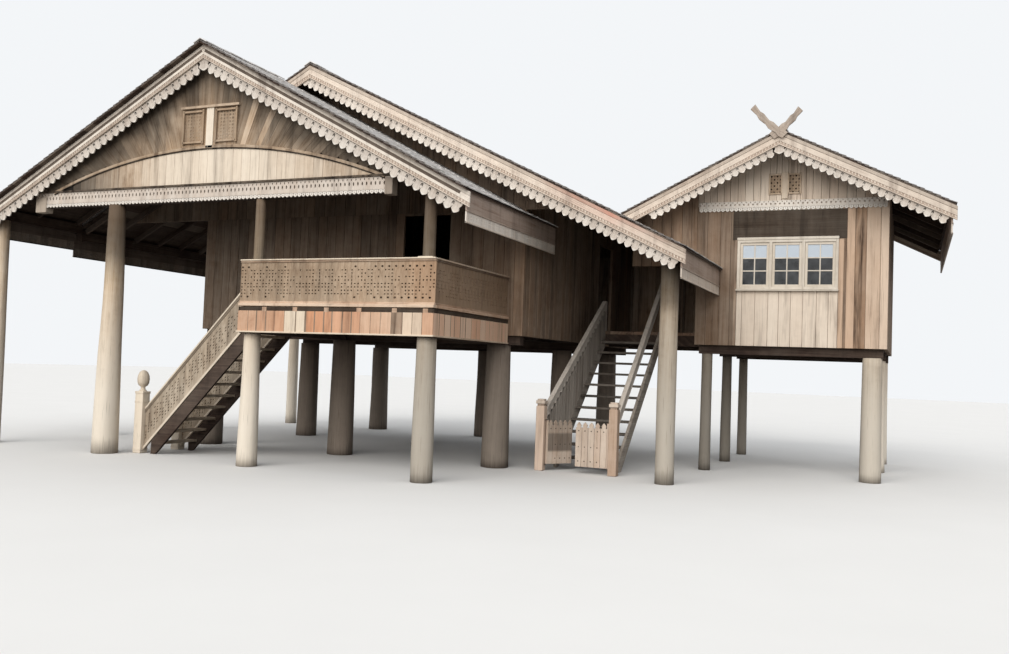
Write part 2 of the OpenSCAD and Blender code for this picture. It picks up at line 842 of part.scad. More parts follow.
// Side rails from the gate posts up to head posts on the hall floor, with a panel under the left one
module centre_flight_rails() {
  foot = gate_y + gate_post / 2;
  rail_x = [centre_x0 - hand_rail_w, gate_x1];
  foot_z = [for (d = rail_drop) gate_post_h - d];
  head_z = [for (h = head_rail_h) floor_z + h];
  top = rise + joint;
  color("dimgray") {
    for (i = [0, 1]) translate([rail_x[i], 0, 0]) {
      along_x(0, hand_rail_w) strip(foot, foot_z[i], hall_y0, head_z[i], rail_h);
      block([0, hall_y0, floor_z], [hand_rail_w, hall_y0 + head_post, head_z[i]]);
    }
    along_x(centre_x0 - skirt_t, centre_x0)
      polygon([[foot, top], [centre_y0, top], [hall_y0, floor_z + joint], [hall_y0, head_z[0] - rail_h],
               [foot, foot_z[0] - rail_h]]);
  }
}

// Both sides of the gate, each drawn from its post's inner face
module gate_sides() {
  translate([centre_x0, gate_y, 0]) children();
  translate([gate_x1, gate_y, 0]) mirror([1, 0, 0]) children();
}

module gate_posts() {
  cap_r = gate_post / 2 + 10;
  color("burlywood") gate_sides() {
    block([-gate_post, -gate_post / 2, 0], [0, gate_post / 2, gate_post_h]);
    translate([-gate_post / 2, 0, gate_post_h]) cylinder(h = 50, r1 = cap_r, r2 = cap_r - 25, $fn = 32);
  }
}

// Brackets under and over the hinge edge of each leaf
module gate_pivots() {
  color("dimgray") gate_sides()
    for (z = [gate_z - pivot_gap - bracket_t, gate_z + gate_h + pivot_gap])
      block([0, -gate_t / 2, z], [gate_gap + bracket_l, gate_t / 2, z + bracket_t]);
}

// One leaf of pointed pickets beside a stile, w wide, hinged along its back edge at its own origin
module leaf(w) {
  stile = bracket_l + 5;
  top = gate_z + gate_h;
  picket = (w - stile) / pickets;
  along_y(-gate_t, 0) polygon(concat([[w, gate_z], [0, gate_z], [0, top], [stile, top]],
    [for (i = [0 : pickets - 1])
       each [[stile + i * picket, top - picket_rise], [stile + (i + 0.5) * picket, top]]],
    [[w, top - picket_rise]]));
}

module gate_leaf_left() {
  color("bisque") translate([centre_x0 + gate_gap, gate_y + gate_t / 2, 0]) rotate([0, 0, ajar])
    leaf(leaf_w);
}

module gate_leaf_right() {
  color("bisque") translate([gate_x1 - gate_gap, gate_y + gate_t / 2, 0]) mirror([1, 0, 0])
    leaf(leaf_w + gate_more);
}

tall_posts();
veranda_posts();
veranda_roof_posts();
main_posts();
right_posts();
floor_beams();
floor_joists();
veranda_floor();
veranda_skirt();
veranda_rails();
room_floors();
hall_floor();
main_front_wall();
main_back_wall();
main_left_wall();
main_right_wall();
hall_walls();
middle_gable_panels();
right_front_wall();
right_back_wall();
right_left_wall();
right_right_wall();
right_gable_panels();
window_frames();
window_sashes();
window_glass();
left_gable_panel();
left_tie_beam();
carved_tie_boards();
roof_beams();
left_roof_slopes();
middle_left_slope();
middle_right_slope();
right_left_slope();
right_right_slope();
left_bargeboards();
middle_bargeboards();
right_bargeboards();
back_bargeboards();
barge_fringes();
eave_boards();
crossed_finial();
left_flight_strings();
left_flight_treads();
left_flight_rails();
left_newels();
centre_flight_strings();
centre_flight_treads();
centre_flight_rails();
gate_posts();
gate_pivots();
gate_leaf_left();
gate_leaf_right();
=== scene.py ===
import bpy
import bmesh
import math
from mathutils import Matrix, Vector, noise


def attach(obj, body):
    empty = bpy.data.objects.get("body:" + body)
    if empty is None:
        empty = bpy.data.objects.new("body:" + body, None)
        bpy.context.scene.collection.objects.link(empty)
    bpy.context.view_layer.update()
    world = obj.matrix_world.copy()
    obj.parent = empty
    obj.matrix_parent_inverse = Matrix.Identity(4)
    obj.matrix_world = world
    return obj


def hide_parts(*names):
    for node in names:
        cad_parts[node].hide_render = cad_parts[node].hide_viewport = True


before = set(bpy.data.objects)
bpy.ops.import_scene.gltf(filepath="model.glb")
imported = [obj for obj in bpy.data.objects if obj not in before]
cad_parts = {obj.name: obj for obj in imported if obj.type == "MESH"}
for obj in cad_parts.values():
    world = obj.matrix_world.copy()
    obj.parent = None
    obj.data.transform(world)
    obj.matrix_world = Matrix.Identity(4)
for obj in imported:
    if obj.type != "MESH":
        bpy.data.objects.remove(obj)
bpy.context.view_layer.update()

# main lines of the house, in metres; beam and tie are the undersides that posts carry
house = {
    "floor": 2.46, "joist": 2.2, "beam": 2.05, "tie": 4.15, "wall": 0.06,
    "mainX": (-5.26, 1.4), "mainY": (-2.2, 4.4), "mainTop": 4.3,
    "rightX": (3.79, 6.95), "rightY": (0.0, 4.4), "rightTop": 4.64,
    "verandaX": (-2.24, 1.15), "verandaY": (-4.9, -2.2),
    "back": 5.015, "valleyX": 2.625,
}
# the three roofs: ridge, eaves, pitches to left and right in degrees, front edge, face of the bargeboards
roofs = {
    "left": {"x": -3.13, "z": 6.69, "eaves": (-7.93, 1.67), "pitch": (28, 28),
             "front": -5.05, "boards": -4.96},
    "middle": {"x": -2.48, "z": 6.9, "eaves": (-7.93, 4.26), "pitch": (28, 26.4),
               "front": -3.0, "boards": -3.0},
    "right": {"x": 5.25, "z": 5.8, "eaves": (2.57, 7.93), "pitch": (26.4, 26.4),
              "front": -0.7, "boards": -0.7},
}
for r in roofs.values():
    r["kL"], r["kR"] = (math.tan(math.radians(angle)) for angle in r["pitch"])


def roofTop(roof, x):
    r = roofs[roof]
    return r["z"] - (r["kL"] * (r["x"] - x) if x < r["x"] else r["kR"] * (x - r["x"]))


def chance(a, b=0.0, c=0.0):
    # a number from 0 to 1 that depends only on its key
    return (noise.cell(Vector((a * 7.31 + 0.37, b * 5.73 + 0.61, c * 9.17 + 0.19))) + 1) / 2


# shader maths: a wire is one output of a node, and expressions on wires add Math nodes
class Wire:
    def __init__(self, shader, socket):
        self.shader, self.socket = shader, socket

    def maths(self, operation, *others, clamp=False):
        sockets = {i: value for i, value in enumerate((self,) + others)}
        return self.shader.node("ShaderNodeMath", {"operation": operation, "use_clamp": clamp}, sockets)

    def __add__(self, other):
        return self.maths("ADD", other)

    def __radd__(self, other):
        return self.maths("ADD", other)

    def __mul__(self, other):
        return self.maths("MULTIPLY", other)

    def __rmul__(self, other):
        return self.maths("MULTIPLY", other)

    def __sub__(self, other):
        return self.maths("SUBTRACT", other)

    def __rsub__(self, other):
        return self.shader.node("ShaderNodeMath", {"operation": "SUBTRACT"}, {0: other, 1: self})

    def __truediv__(self, other):
        return self.maths("DIVIDE", other)

    def clamp(self):
        return self.maths("ADD", 0.0, clamp=True)

    def between(self, low, high):
        return ((self - low) / (high - low)).clamp()


class Shader:
    # the nodes of a material, or of a world
    def __init__(self, name, world=False):
        self.owner = bpy.data.worlds.new(name) if world else bpy.data.materials.new(name)
        self.owner.use_nodes = True
        self.tree = self.owner.node_tree
        self.tree.nodes.clear()

    def node(self, kind, settings=None, sockets=None, out=0):
        made = self.tree.nodes.new(kind)
        for key, value in (settings or {}).items():
            if key == "stops":
                ramp = made.color_ramp
                while len(ramp.elements) < len(value):
                    ramp.elements.new(0.5)
                for element, (place, colour) in zip(ramp.elements, value):
                    element.position = place
                    element.color = (*colour, 1)
            else:
                setattr(made, key, value)
        for key, value in (sockets or {}).items():
            if isinstance(value, Wire):
                self.tree.links.new(value.socket, made.inputs[key])
            else:
                made.inputs[key].default_value = value
        return Wire(self, made.outputs[out]) if len(made.outputs) else None

    def mix(self, factor, a, b, blend="MIX"):
        four = lambda c: c if isinstance(c, Wire) else (*c, 1)
        return self.node("ShaderNodeMix", {"data_type": "RGBA", "blend_type": blend, "clamp_factor": True},
                         {0: factor, 6: four(a), 7: four(b)}, out=2)

    def noise(self, vector, scale, detail=3, rough=0.55, twist=0.0):
        return self.node("ShaderNodeTexNoise", {}, {"Vector": vector, "Scale": scale, "Detail": detail,
                                                    "Roughness": rough, "Distortion": twist})

    def ramp(self, factor, stops):
        return self.node("ShaderNodeValToRGB", {"stops": stops}, {0: factor})

    def axes(self, vector):
        parts = self.node("ShaderNodeSeparateXYZ", {}, {0: vector})
        outs = parts.socket.node.outputs
        return [Wire(self, outs[i]) for i in range(3)]

    def vector(self, x, y, z):
        return self.node("ShaderNodeCombineXYZ", {}, {0: x, 1: y, 2: z})

    def place(self):
        return self.node("ShaderNodeTexCoord", {}, {}, out=3)

    def bump(self, height, strength, depth):
        return self.node("ShaderNodeBump", {}, {"Height": height, "Strength": strength, "Distance": depth})

    def finish(self, sockets, plain=None):
        shader = self.node("ShaderNodeBsdfPrincipled", {}, {**(plain or {}), **sockets})
        self.node("ShaderNodeOutputMaterial", {}, {0: shader})
        return self.owner


def hue(red, green, blue):
    # a colour given as it shows on screen, from 0 to 255
    return tuple(((c / 255 + 0.055) / 1.055) ** 2.4 for c in (red, green, blue))


# timber: dark, mid and light tones along the grain, bleached tone, warm tone, and stains that run down
timberBase = {"along": 1.4, "across": 22, "rough": 0.8, "bump": 0.3,
              "foot": 0.0, "stainAmount": 0.4, "worn": 0.4}
timbers = {
    "postWood": {"tones": [(134, 112, 88), (204, 182, 154), (226, 210, 188)], "pale": (234, 225, 210),
                 "warm": (170, 138, 104), "stain": (74, 60, 49), "stainAmount": 0.25,
                 "along": 1.2, "across": 16, "foot": 0.8, "worn": 0.55},
    "greyPost": {"tones": [(48, 40, 34), (92, 79, 69), (126, 111, 99)], "pale": (150, 140, 128),
                 "warm": (120, 88, 66), "stain": (34, 27, 23),
                 "along": 1.2, "across": 16, "foot": 0.5, "worn": 0.3},
    # frame wood is dark brown, partly its own colour and partly painted shade under the roofs, floors and
    # stair
    "frameWood": {"tones": [(34, 26, 22), (58, 45, 38), (82, 66, 56)], "pale": (196, 184, 168),
                  "warm": (84, 56, 40), "stain": (26, 20, 17), "stainAmount": 0.3,
                  "along": 1.0, "across": 14, "worn": 0.1},
    "floorBoards": {"tones": [(70, 52, 42), (110, 88, 72), (140, 118, 100)], "pale": (160, 146, 130),
                    "warm": (134, 94, 66), "stain": (54, 41, 33), "stainAmount": 0.25,
                    "rough": 0.65},
    "verandaPlanks": {"tones": [(122, 96, 76), (182, 154, 130), (212, 190, 166)], "pale": (222, 210, 190),
                      "warm": (206, 148, 112), "stain": (88, 68, 54), "stainAmount": 0.5,
                      "along": 2.2},
    "wallPlanks": {"tones": [(112, 90, 72), (170, 148, 128), (200, 182, 162)], "pale": (226, 214, 198),
                   "warm": (178, 132, 92), "stain": (74, 58, 47), "stainAmount": 0.6,
                   "along": 1.1},
    "gableBoards": {"tones": [(120, 98, 78), (178, 156, 133), (208, 190, 168)], "pale": (232, 221, 204),
                    "warm": (176, 142, 104), "stain": (76, 60, 48), "stainAmount": 0.5},
    "carvedWood": {"tones": [(120, 106, 94), (176, 162, 149), (204, 193, 181)], "pale": (226, 220, 211),
                   "warm": (186, 156, 128), "stain": (82, 69, 60),
                   "along": 3.0, "across": 26, "rough": 0.85},
    "trimBoards": {"tones": [(150, 130, 114), (200, 184, 168), (220, 206, 190)], "pale": (228, 218, 205),
                   "warm": (205, 122, 98), "stain": (92, 74, 64), "across": 24},
    "railWood": {"tones": [(112, 94, 76), (168, 147, 124), (198, 180, 156)], "pale": (222, 208, 188),
                 "warm": (172, 130, 96), "stain": (84, 68, 54), "stainAmount": 0.2,
                 "along": 6.0, "across": 30, "worn": 0.25},
    "stairWood": {"tones": [(120, 104, 88), (174, 158, 138), (206, 192, 172)], "pale": (226, 214, 196),
                  "warm": (164, 132, 104), "stain": (82, 68, 56), "stainAmount": 0.2,
                  "along": 4.0},
    "greyStair": {"tones": [(96, 88, 80), (146, 136, 125), (176, 166, 154)], "pale": (206, 197, 186),
                  "warm": (116, 94, 78), "stain": (52, 45, 40), "rough": 0.85},
    "gateWood": {"tones": [(140, 118, 100), (186, 166, 148), (208, 192, 176)], "pale": (222, 210, 196),
                 "warm": (202, 154, 118), "stain": (92, 74, 62), "along": 1.8, "across": 26},
    "windowPaint": {"tones": [(160, 149, 134), (194, 184, 169), (212, 204, 191)], "pale": (224, 218, 208),
                    "warm": (176, 150, 118), "stain": (104, 88, 70), "stainAmount": 0.35,
                    "across": 30, "rough": 0.6, "bump": 0.12},
}


def makeTimber(name, turn=None, source=None):
    # turn: for a CAD piece without a grain map, the axis along which its grain runs
    look = {**timberBase, **timbers[source or name]}
    s = Shader(name)
    place = s.place()
    px, py, pz = s.axes(place)
    if turn is None:
        grainMap = s.node("ShaderNodeUVMap", {"uv_map": "grain"})
        along, across, _ = s.axes(grainMap)
        own = s.node("ShaderNodeAttribute", {"attribute_type": "GEOMETRY", "attribute_name": "look"})
        tone, warmth, stained = s.axes(own)
    else:
        along, across = {"x": (px, py + pz * 1.3), "y": (py, px + pz * 1.3), "z": (pz, px + py * 1.3)}[turn]
        tone = warmth = stained = None
    long, wide = look["along"], look["across"]
    fibre = s.noise(s.vector(along * long, across * wide * 2.2, 0.0), 1.0, 5, 0.62, 0.3)
    bands = s.noise(s.vector(along * long * 0.35, across * wide * 0.45, 0.0), 1.0, 3, 0.5, 0.8)
    mottle = s.noise(place, 7.0, 5, 0.68, 0.3)
    streak = fibre * 0.42 + bands * 0.33 + mottle * 0.25
    dark, mid, light = (hue(*tone3) for tone3 in look["tones"])
    pale, warm, stain = (hue(*look[key]) for key in ("pale", "warm", "stain"))
    colour = s.ramp(streak.between(0.32, 0.70), [(0.0, dark), (0.42, mid), (1.0, light)])
    # bleached patches in weather-worn places
    patches = s.noise(place, 1.3, 4, 0.6, 0.4)
    worn = (patches * 0.7 + streak * 0.5).between(0.52, 0.80) * look["worn"]
    colour = s.mix(worn, colour, pale)
    if tone:
        # above zero the tone makes a board paler, below zero darker; it carries the boards' own tones and
        # also painted light and shade
        colour = s.mix((tone * (streak * 0.8 + 0.9)).clamp(), colour, pale)
        level = 1.0 + tone.maths("MINIMUM", 0.0)
        shade = s.node("ShaderNodeCombineColor", {}, {0: level, 1: level, 2: level})
        colour = s.mix(1.0, colour, shade, "MULTIPLY")
        colour = s.mix((warmth * 0.6 + warmth * streak * 0.8).clamp() * level, colour, warm)
    # stains that ran down the face
    runs = s.noise(s.vector(px * 7 + py * 2.5, py * 7, pz * 0.55), 1.0, 4, 0.6, 0.5)
    mask = runs.between(0.54, 0.72) * look["stainAmount"]
    if tone:
        mask = (mask * 0.7 + stained * runs.between(0.34, 0.62)).clamp()
        stain = s.mix(1.0, stain, shade, "MULTIPLY")
    colour = s.mix(mask, colour, stain)
    if look["foot"]:
        # paler towards the ground; browner high up under the roof, which is painted shade; damp at the very
        # foot
        height = pz + patches * 0.9
        shaded = s.mix(1.0, pale, shade, "MULTIPLY")
        colour = s.mix(height.between(3.3, 1.4) * look["foot"], colour, shaded)
        paintedRoofShade = height.between(3.6, 4.8) * 0.7 * (1.0 - tone.maths("MAXIMUM", 0.0))
        colour = s.mix(paintedRoofShade, colour, hue(88, 68, 52))
        damp = (pz + fibre * 0.5 + patches * 0.3).between(0.62, 0.34) * 0.4
        colour = s.mix(damp, colour, stain)
    # fine cracks
    cracks = s.noise(s.vector(along * long * 1.6, across * wide * 5, 0.0), 1.0, 2, 0.4)
    crack = cracks.between(0.66, 0.74) * 0.5
    colour = s.mix(crack, colour, tuple(c * 0.35 for c in dark))
    height = fibre * 0.7 - crack * 0.8 + bands * 0.2
    return s.finish({"Base Color": colour, "Roughness": (0.12 * streak + look["rough"] - 0.04).clamp(),
                     "Normal": s.bump(height, look["bump"], 0.012)}, {"Specular IOR Level": 0.2})


def makeTiles():
    look = {"dark": hue(134, 128, 123), "mid": hue(192, 188, 184), "light": hue(218, 216, 214),
            "moss": hue(104, 102, 78), "rust": hue(140, 108, 88), "lichen": hue(208, 206, 200)}
    s = Shader("roofTiles")
    place = s.place()
    own = s.node("ShaderNodeAttribute", {"attribute_type": "GEOMETRY", "attribute_name": "look"})
    tone, warmth, stained = s.axes(own)
    grain = s.noise(place, 24, 5, 0.65)
    blotch = s.noise(place, 1.1, 4, 0.6, 0.5)
    shade = (grain * 0.45 + tone * 0.6 + blotch * 0.45).between(0.22, 0.86)
    colour = s.ramp(shade, [(0.0, look["dark"]), (0.5, look["mid"]), (1.0, look["light"])])
    colour = s.mix(warmth * 0.6, colour, look["rust"])
    colour = s.mix((0.0 - tone).clamp(), colour, hue(78, 68, 62))
    moss = (s.noise(place, 3.2, 5, 0.7).between(0.52, 0.66) * 0.55 * stained + 0.0).clamp()
    colour = s.mix(moss, colour, look["moss"])
    spots = s.node("ShaderNodeTexVoronoi", {}, {"Vector": place, "Scale": 34.0})
    dots = spots.between(0.22, 0.10) * s.noise(place, 2.1, 2).between(0.52, 0.66) * 0.7
    colour = s.mix(dots, colour, look["lichen"])
    return s.finish({"Base Color": colour, "Roughness": 0.40 + grain * 0.25,
                     "Normal": s.bump(grain + dots, 0.25, 0.005)}, {"Specular IOR Level": 0.6})


def makeGlass():
    s = Shader("windowGlass")
    place = s.place()
    film = s.noise(place, 6, 4, 0.6).between(0.35, 0.75)
    # near-black panes: painted shade of the dark rooms behind
    colour = s.mix(film, (0.012, 0.014, 0.016), (0.05, 0.055, 0.06))
    # a painted reflection of the sky on the upper panes, not at full strength
    pz = s.axes(place)[2]
    colour = s.mix(pz.between(3.715, 3.725) * 0.9, colour, hue(186, 196, 206))
    wave = s.noise(place, 2.2, 2)
    return s.finish({"Base Color": colour, "Roughness": 0.05 + film * 0.12, "Alpha": 0.97,
                     "Normal": s.bump(wave, 0.15, 0.01)}, {"Specular IOR Level": 0.15, "IOR": 1.5})


def makeIron():
    s = Shader("darkIron")
    place = s.place()
    rust = s.noise(place, 60, 5, 0.65).between(0.45, 0.7)
    colour = s.mix(rust, (0.05, 0.045, 0.042), (0.20, 0.09, 0.045))
    return s.finish({"Base Color": colour, "Roughness": 0.5 + rust * 0.35, "Metallic": 0.7 - rust * 0.5,
                     "Normal": s.bump(rust, 0.3, 0.002)})


paints = {name: makeTimber(name) for name in timbers}
paints["roofTiles"] = makeTiles()
paints["windowGlass"] = makeGlass()
paints["darkIron"] = makeIron()
paints["shadeX"] = makeTimber("frameWoodX", "x", "frameWood")
paints["shadeY"] = makeTimber("frameWoodY", "y", "frameWood")
print("materials:", len(paints))
batch = {"boards": 400, "units": 2500}  # vertices at which a pile closes a batch
underside = 0.0605  # depth of a roof's underside below its top, measured plumb


def asMesh(name, bm):
    mesh = bpy.data.meshes.new(name)
    bm.to_mesh(mesh)
    bm.free()
    return mesh


class Pile:
    # collects boards and carved units, in small batches, because operators slow down on a large mesh
    def __init__(self):
        self.batches = []
        self.bm = self.fresh()

    def fresh(self):
        bm = bmesh.new()
        bm.loops.layers.uv.new("grain")
        bm.verts.layers.float_color.new("look")
        return bm

    def flush(self):
        if len(self.bm.verts):
            self.batches.append(asMesh("batch", self.bm))
        else:
            self.bm.free()
        self.bm = self.fresh()

    def join(self):
        self.flush()
        bm = self.fresh()
        for mesh in self.batches:
            bm.from_mesh(mesh)
            bpy.data.meshes.remove(mesh)
        self.batches = []
        return bm

    def board(self, a, b, across, width, thick, look=(0, 0, 0), taper=1.0, cuts=0):
        # a cuboid from a to b; across is the direction of its width, and look may depend on the place
        if len(self.bm.verts) > batch["boards"]:
            self.flush()
        bm = self.bm
        a, b = Vector(a), Vector(b)
        x = (b - a).normalized()
        y = Vector(across)
        y = (y - x * x.dot(y)).normalized()
        start = len(bm.verts)
        made = bmesh.ops.create_cube(bm, size=1)["verts"]
        if cuts:
            long = {e for v in made for e in v.link_edges if abs(e.verts[0].co.x - e.verts[1].co.x) > 0.5}
            bmesh.ops.subdivide_edges(bm, edges=list(long), cuts=cuts, use_grid_fill=True)
            bm.verts.ensure_lookup_table()
            made = bm.verts[start:]
        size = Vector(((b - a).length, width, thick))
        grain, own = bm.loops.layers.uv["grain"], bm.verts.layers.float_color["look"]
        for v in made:
            v.co = v.co * size
            v.co.y *= 1 + (taper - 1) * (0.5 - v.co.x / size.x)
        shift = chance(a.x + b.z, a.y - b.x, a.z + b.y) * 37
        for face in {f for v in made for f in v.link_faces}:
            for loop in face.loops:
                p = loop.vert.co
                loop[grain].uv = (p.x + shift, p.y + p.z * 0.8 + shift * 0.61)
        m = Matrix((x, y, x.cross(y))).transposed().to_4x4()
        m.translation = (a + b) / 2
        for v in made:
            v.co = m @ v.co
            v[own] = (*(look(v.co) if callable(look) else look), 1)
        return made

    def stud(self, x, y, z0, z1, wide, thick, look=(0, 0, 0), **more):
        # a standing member, its width along X
        return self.board((x, y, z0), (x, y, z1), (1, 0, 0), wide, thick, look, **more)

    def rail(self, x0, x1, y, z, high, thick, look=(0, 0, 0), **more):
        # a level member along X, standing on edge
        return self.board((x0, y, z), (x1, y, z), (0, 0, 1), high, thick, look, **more)

    def shelf(self, x0, x1, y, z, wide, thick, look=(0, 0, 0)):
        # a level member along X, lying flat
        return self.board((x0, y, z), (x1, y, z), (0, 1, 0), wide, thick, look)

    def sideRail(self, x, y0, y1, z, high, thick, look=(0, 0, 0), **more):
        # a level member along Y, standing on edge
        return self.board((x, y0, z), (x, y1, z), (0, 0, 1), high, thick, look, **more)

    def sideShelf(self, x, y0, y1, z, wide, thick, look=(0, 0, 0)):
        # a level member along Y, lying flat
        return self.board((x, y0, z), (x, y1, z), (1, 0, 0), wide, thick, look)

    def strip(self, x0, z0, x1, z1, y0, y1, height, look=(0, 0, 0), cuts=0):
        # a board under a sloping line in X and Z, with plumb ends
        mid, reach = (x0 + x1) / 2, abs(x1 - x0) / 2
        made = self.rail(mid - reach, mid + reach, (y0 + y1) / 2, 0, height, abs(y1 - y0), look, cuts=cuts)
        k = (z1 - z0) / (x1 - x0)
        for v in made:
            v.co.z += z0 + k * (v.co.x - x0) - height / 2
        return made

    def unit(self, mesh, matrix, look):
        # a ready-made carved unit, set in place
        if len(self.bm.verts) > batch["units"]:
            self.flush()
        bm = self.bm
        start = len(bm.verts)
        bm.from_mesh(mesh)
        bm.verts.ensure_lookup_table()
        own = bm.verts.layers.float_color["look"]
        for v in bm.verts[start:]:
            v.co = matrix @ v.co
            v[own] = (v[own][0] + look[0], v[own][1] + look[1], v[own][2] + look[2], 1)


def cutBy(bm, planes):
    # keep what lies behind every plane, given as a point and an outward direction, and close the cuts
    for point, outward in planes:
        geometry = bm.verts[:] + bm.edges[:] + bm.faces[:]
        cut = bmesh.ops.bisect_plane(bm, geom=geometry, dist=1e-5, plane_co=point, plane_no=outward,
                                     clear_outer=True)
        edges = [e for e in cut["geom_cut"] if isinstance(e, bmesh.types.BMEdge)]
        if edges:
            bmesh.ops.holes_fill(bm, edges=edges, sides=0)


def underRoof(roof, below=0.062):
    # the two planes of a roof's underside, for cutting walls and boards
    r = roofs[roof]
    top = Vector((r["x"], 0, r["z"] - below))
    return [(top, Vector((-r["kL"], 0, 1)).normalized()), (top, Vector((r["kR"], 0, 1)).normalized())]


def level(z, outward):
    # a level plane for cutting, facing up or down
    return Vector((0, 0, z)), Vector((0, 0, outward))


def asPiece(name, bm, paint, nodes=(), body="house", bevel=0.0):
    bmesh.ops.recalc_face_normals(bm, faces=bm.faces[:])
    mesh = asMesh(name, bm)
    piece = bpy.data.objects.new(name, mesh)
    bpy.context.scene.collection.objects.link(piece)
    mesh.materials.append(paints[paint])
    if bevel:
        edge = piece.modifiers.new("edges", "BEVEL")
        edge.width = bevel
        edge.segments = 1
        edge.limit_method = "ANGLE"
        edge.angle_limit = math.radians(40)
    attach(piece, body)
    if nodes:
        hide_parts(*nodes)
    return piece


def pieceFrom(name, pile, paint, nodes, planes=(), bevel=0.004):
    bm = pile.join()
    cutBy(bm, planes)
    return asPiece(name, bm, paint, nodes, bevel=bevel)


# Posts: round trunks with flats and bulges. A row gives X and Y, foot, top and the radii there; a post
# without a top reaches up to the plate under the roof
rowsY = (-4.68, -2.05, 1.1, 4.2)
posts = {
    "tallPosts": ("tall_posts", "postWood",
                  [(-5.03, rowsY[0], 0, house["tie"], 0.222, 0.137), (3.91, -2.45, 0, None, 0.152, 0.145)]
                  + [(-7.715, y, 0, None, 0.15, 0.11) for y in rowsY]),
    "verandaPosts": ("veranda_posts", "postWood",
                     [(-2.11, rowsY[0], 0, house["beam"], 0.165, 0.128),
                      (0.95, rowsY[0], 0, house["beam"], 0.168, 0.150)]),
    "verandaRoofPosts": ("veranda_roof_posts", "postWood",
                         [(-2.065, rowsY[0], house["floor"], house["tie"], 0.085, 0.080),
                          (0.93, rowsY[0], house["floor"], None, 0.095, 0.090)]),
    "mainPosts": ("main_posts", "greyPost",
                  [(x, y, 0, house["beam"], 0.235, 0.205)
                   for x in (-5.05, -2.12, 0.93) for y in rowsY[1:]]),
    "rightPosts": ("right_posts", "postWood",
                   [(x, y, 0, house["beam"], foot, top)
                    for x, foot, top in ((3.99, 0.105, 0.095), (6.725, 0.18, 0.16))
                    for y in (0.2, 2.2, 4.2)]),
}
# each post's tone, and the height above which painted shade of the roof darkens it
noRoofShade = 9  # a height above all the posts
postTones = {
    (-5.03, -4.68): (-0.06, 2.8), (3.91, -2.45): (-0.44, 2.5), (-2.11, -4.68): (-0.04, noRoofShade),
    (0.95, -4.68): (-0.48, noRoofShade), (-2.065, -4.68): (-0.62, noRoofShade),
    (0.93, -4.68): (-0.78, noRoofShade), (3.99, 0.2): (-0.72, noRoofShade), (3.99, 2.2): (-0.72, noRoofShade),
    (3.99, 4.2): (-0.6, noRoofShade), (6.725, 0.2): (-0.32, noRoofShade), (0.93, -2.05): (0.10, noRoofShade),
}
trunk = {"segments": 22, "cuts": 14, "swell": 0.075, "flute": 0.035,
         "roofShadeBy": 0.72, "roofShadeOver": 0.6, "darkest": -0.80}
plate = {"half": 0.07, "height": 0.18}


def postTop(x, y):
    # underside of the plate that a tall post carries
    roof = "left" if y < -4 else "middle"
    outer = x - plate["half"] if x < -1 else x + plate["half"]
    return roofTop(roof, outer) - underside - plate["height"]


def roundPost(bm, x, y, z0, z1, r0, r1, look, roofShadeFrom):
    bmesh.ops.create_cone(bm, cap_ends=True, segments=trunk["segments"], radius1=r0, radius2=r1,
                          depth=z1 - z0)
    sides = [e for e in bm.edges if abs(e.verts[0].co.z - e.verts[1].co.z) > 0.1]
    bmesh.ops.subdivide_edges(bm, edges=sides, cuts=trunk["cuts"], use_grid_fill=True)
    grain, own = bm.loops.layers.uv["grain"], bm.verts.layers.float_color["look"]
    shift = chance(x, y, z1) * 19
    for face in bm.faces:
        middle = face.calc_center_median()
        base = math.atan2(middle.y, middle.x)
        for loop in face.loops:
            p = loop.vert.co
            turn = math.atan2(p.y, p.x) - base
            turn = (turn + math.pi) % (2 * math.pi) - math.pi
            loop[grain].uv = (p.z + shift, (base + turn) * r0 + shift)
    for v in bm.verts:
        # painted shade of the roof: the post darkens above the given height, down to the darkest tone
        dim = trunk["roofShadeBy"] * max(0.0, min(1.0, (v.co.z + (z0 + z1) / 2 - roofShadeFrom) / trunk["roofShadeOver"]))
        tone = max(look[0], 0.0) * (1 - dim) + min(look[0], 0.0) - dim
        v[own] = (max(trunk["darkest"], tone), look[1], look[2], 1)
        flat = Vector((v.co.x, v.co.y, 0))
        if flat.length > 0.01:
            out = flat.normalized()
            key = Vector((out.x * 1.4, out.y * 1.4, v.co.z * 0.7 + shift))
            fine = Vector((out.x * 6, out.y * 6, v.co.z * 0.35 + shift))
            swell = noise.noise(key) * trunk["swell"] + noise.noise(fine) * trunk["flute"]
            v.co += flat * min(swell - 0.03, 0.0)
    bmesh.ops.translate(bm, vec=(x, y, (z0 + z1) / 2), verts=bm.verts[:])


for name, (node, paint, rows) in posts.items():
    pile = Pile()
    for x, y, z0, z1, r0, r1 in rows:
        tone, roofShadeFrom = postTones.get((x, y), (0.0, noRoofShade))
        look = (tone, chance(y, x, 5) * 0.2, chance(x, y, 9) * 0.2)
        roundPost(pile.bm, x, y, z0, z1 if z1 else postTop(x, y), r0, r1, look, roofShadeFrom)
        pile.flush()
    piece = asPiece(name, pile.join(), paint, [node])
    piece.data.shade_smooth()
print("posts done")


def tint(i, spread=0.16, warm=0.3, stain=0.35, base=(0, 0, 0)):
    # a board's own tone, warmth and stain
    a, b, c = chance(i, 1.7, 0.3), chance(i, 5.1, 2.9), chance(i, 9.4, 7.7)
    return (base[0] + (a - 0.5) * 2 * spread, base[1] + b * b * warm, base[2] + c * c * stain)


def wallBoard(pile, along, s0, s1, face, thick, z0, z1, look, gap=0.004):
    # one upright board between two marks along a wall; face is the wall's middle plane
    mid, wide = (s0 + s1) / 2, s1 - s0 - gap
    if along == "x":
        pile.stud(mid, face, z0, z1, wide, thick, look)
    else:
        pile.board((face, mid, z0), (face, mid, z1), (0, 1, 0), wide, thick, look)


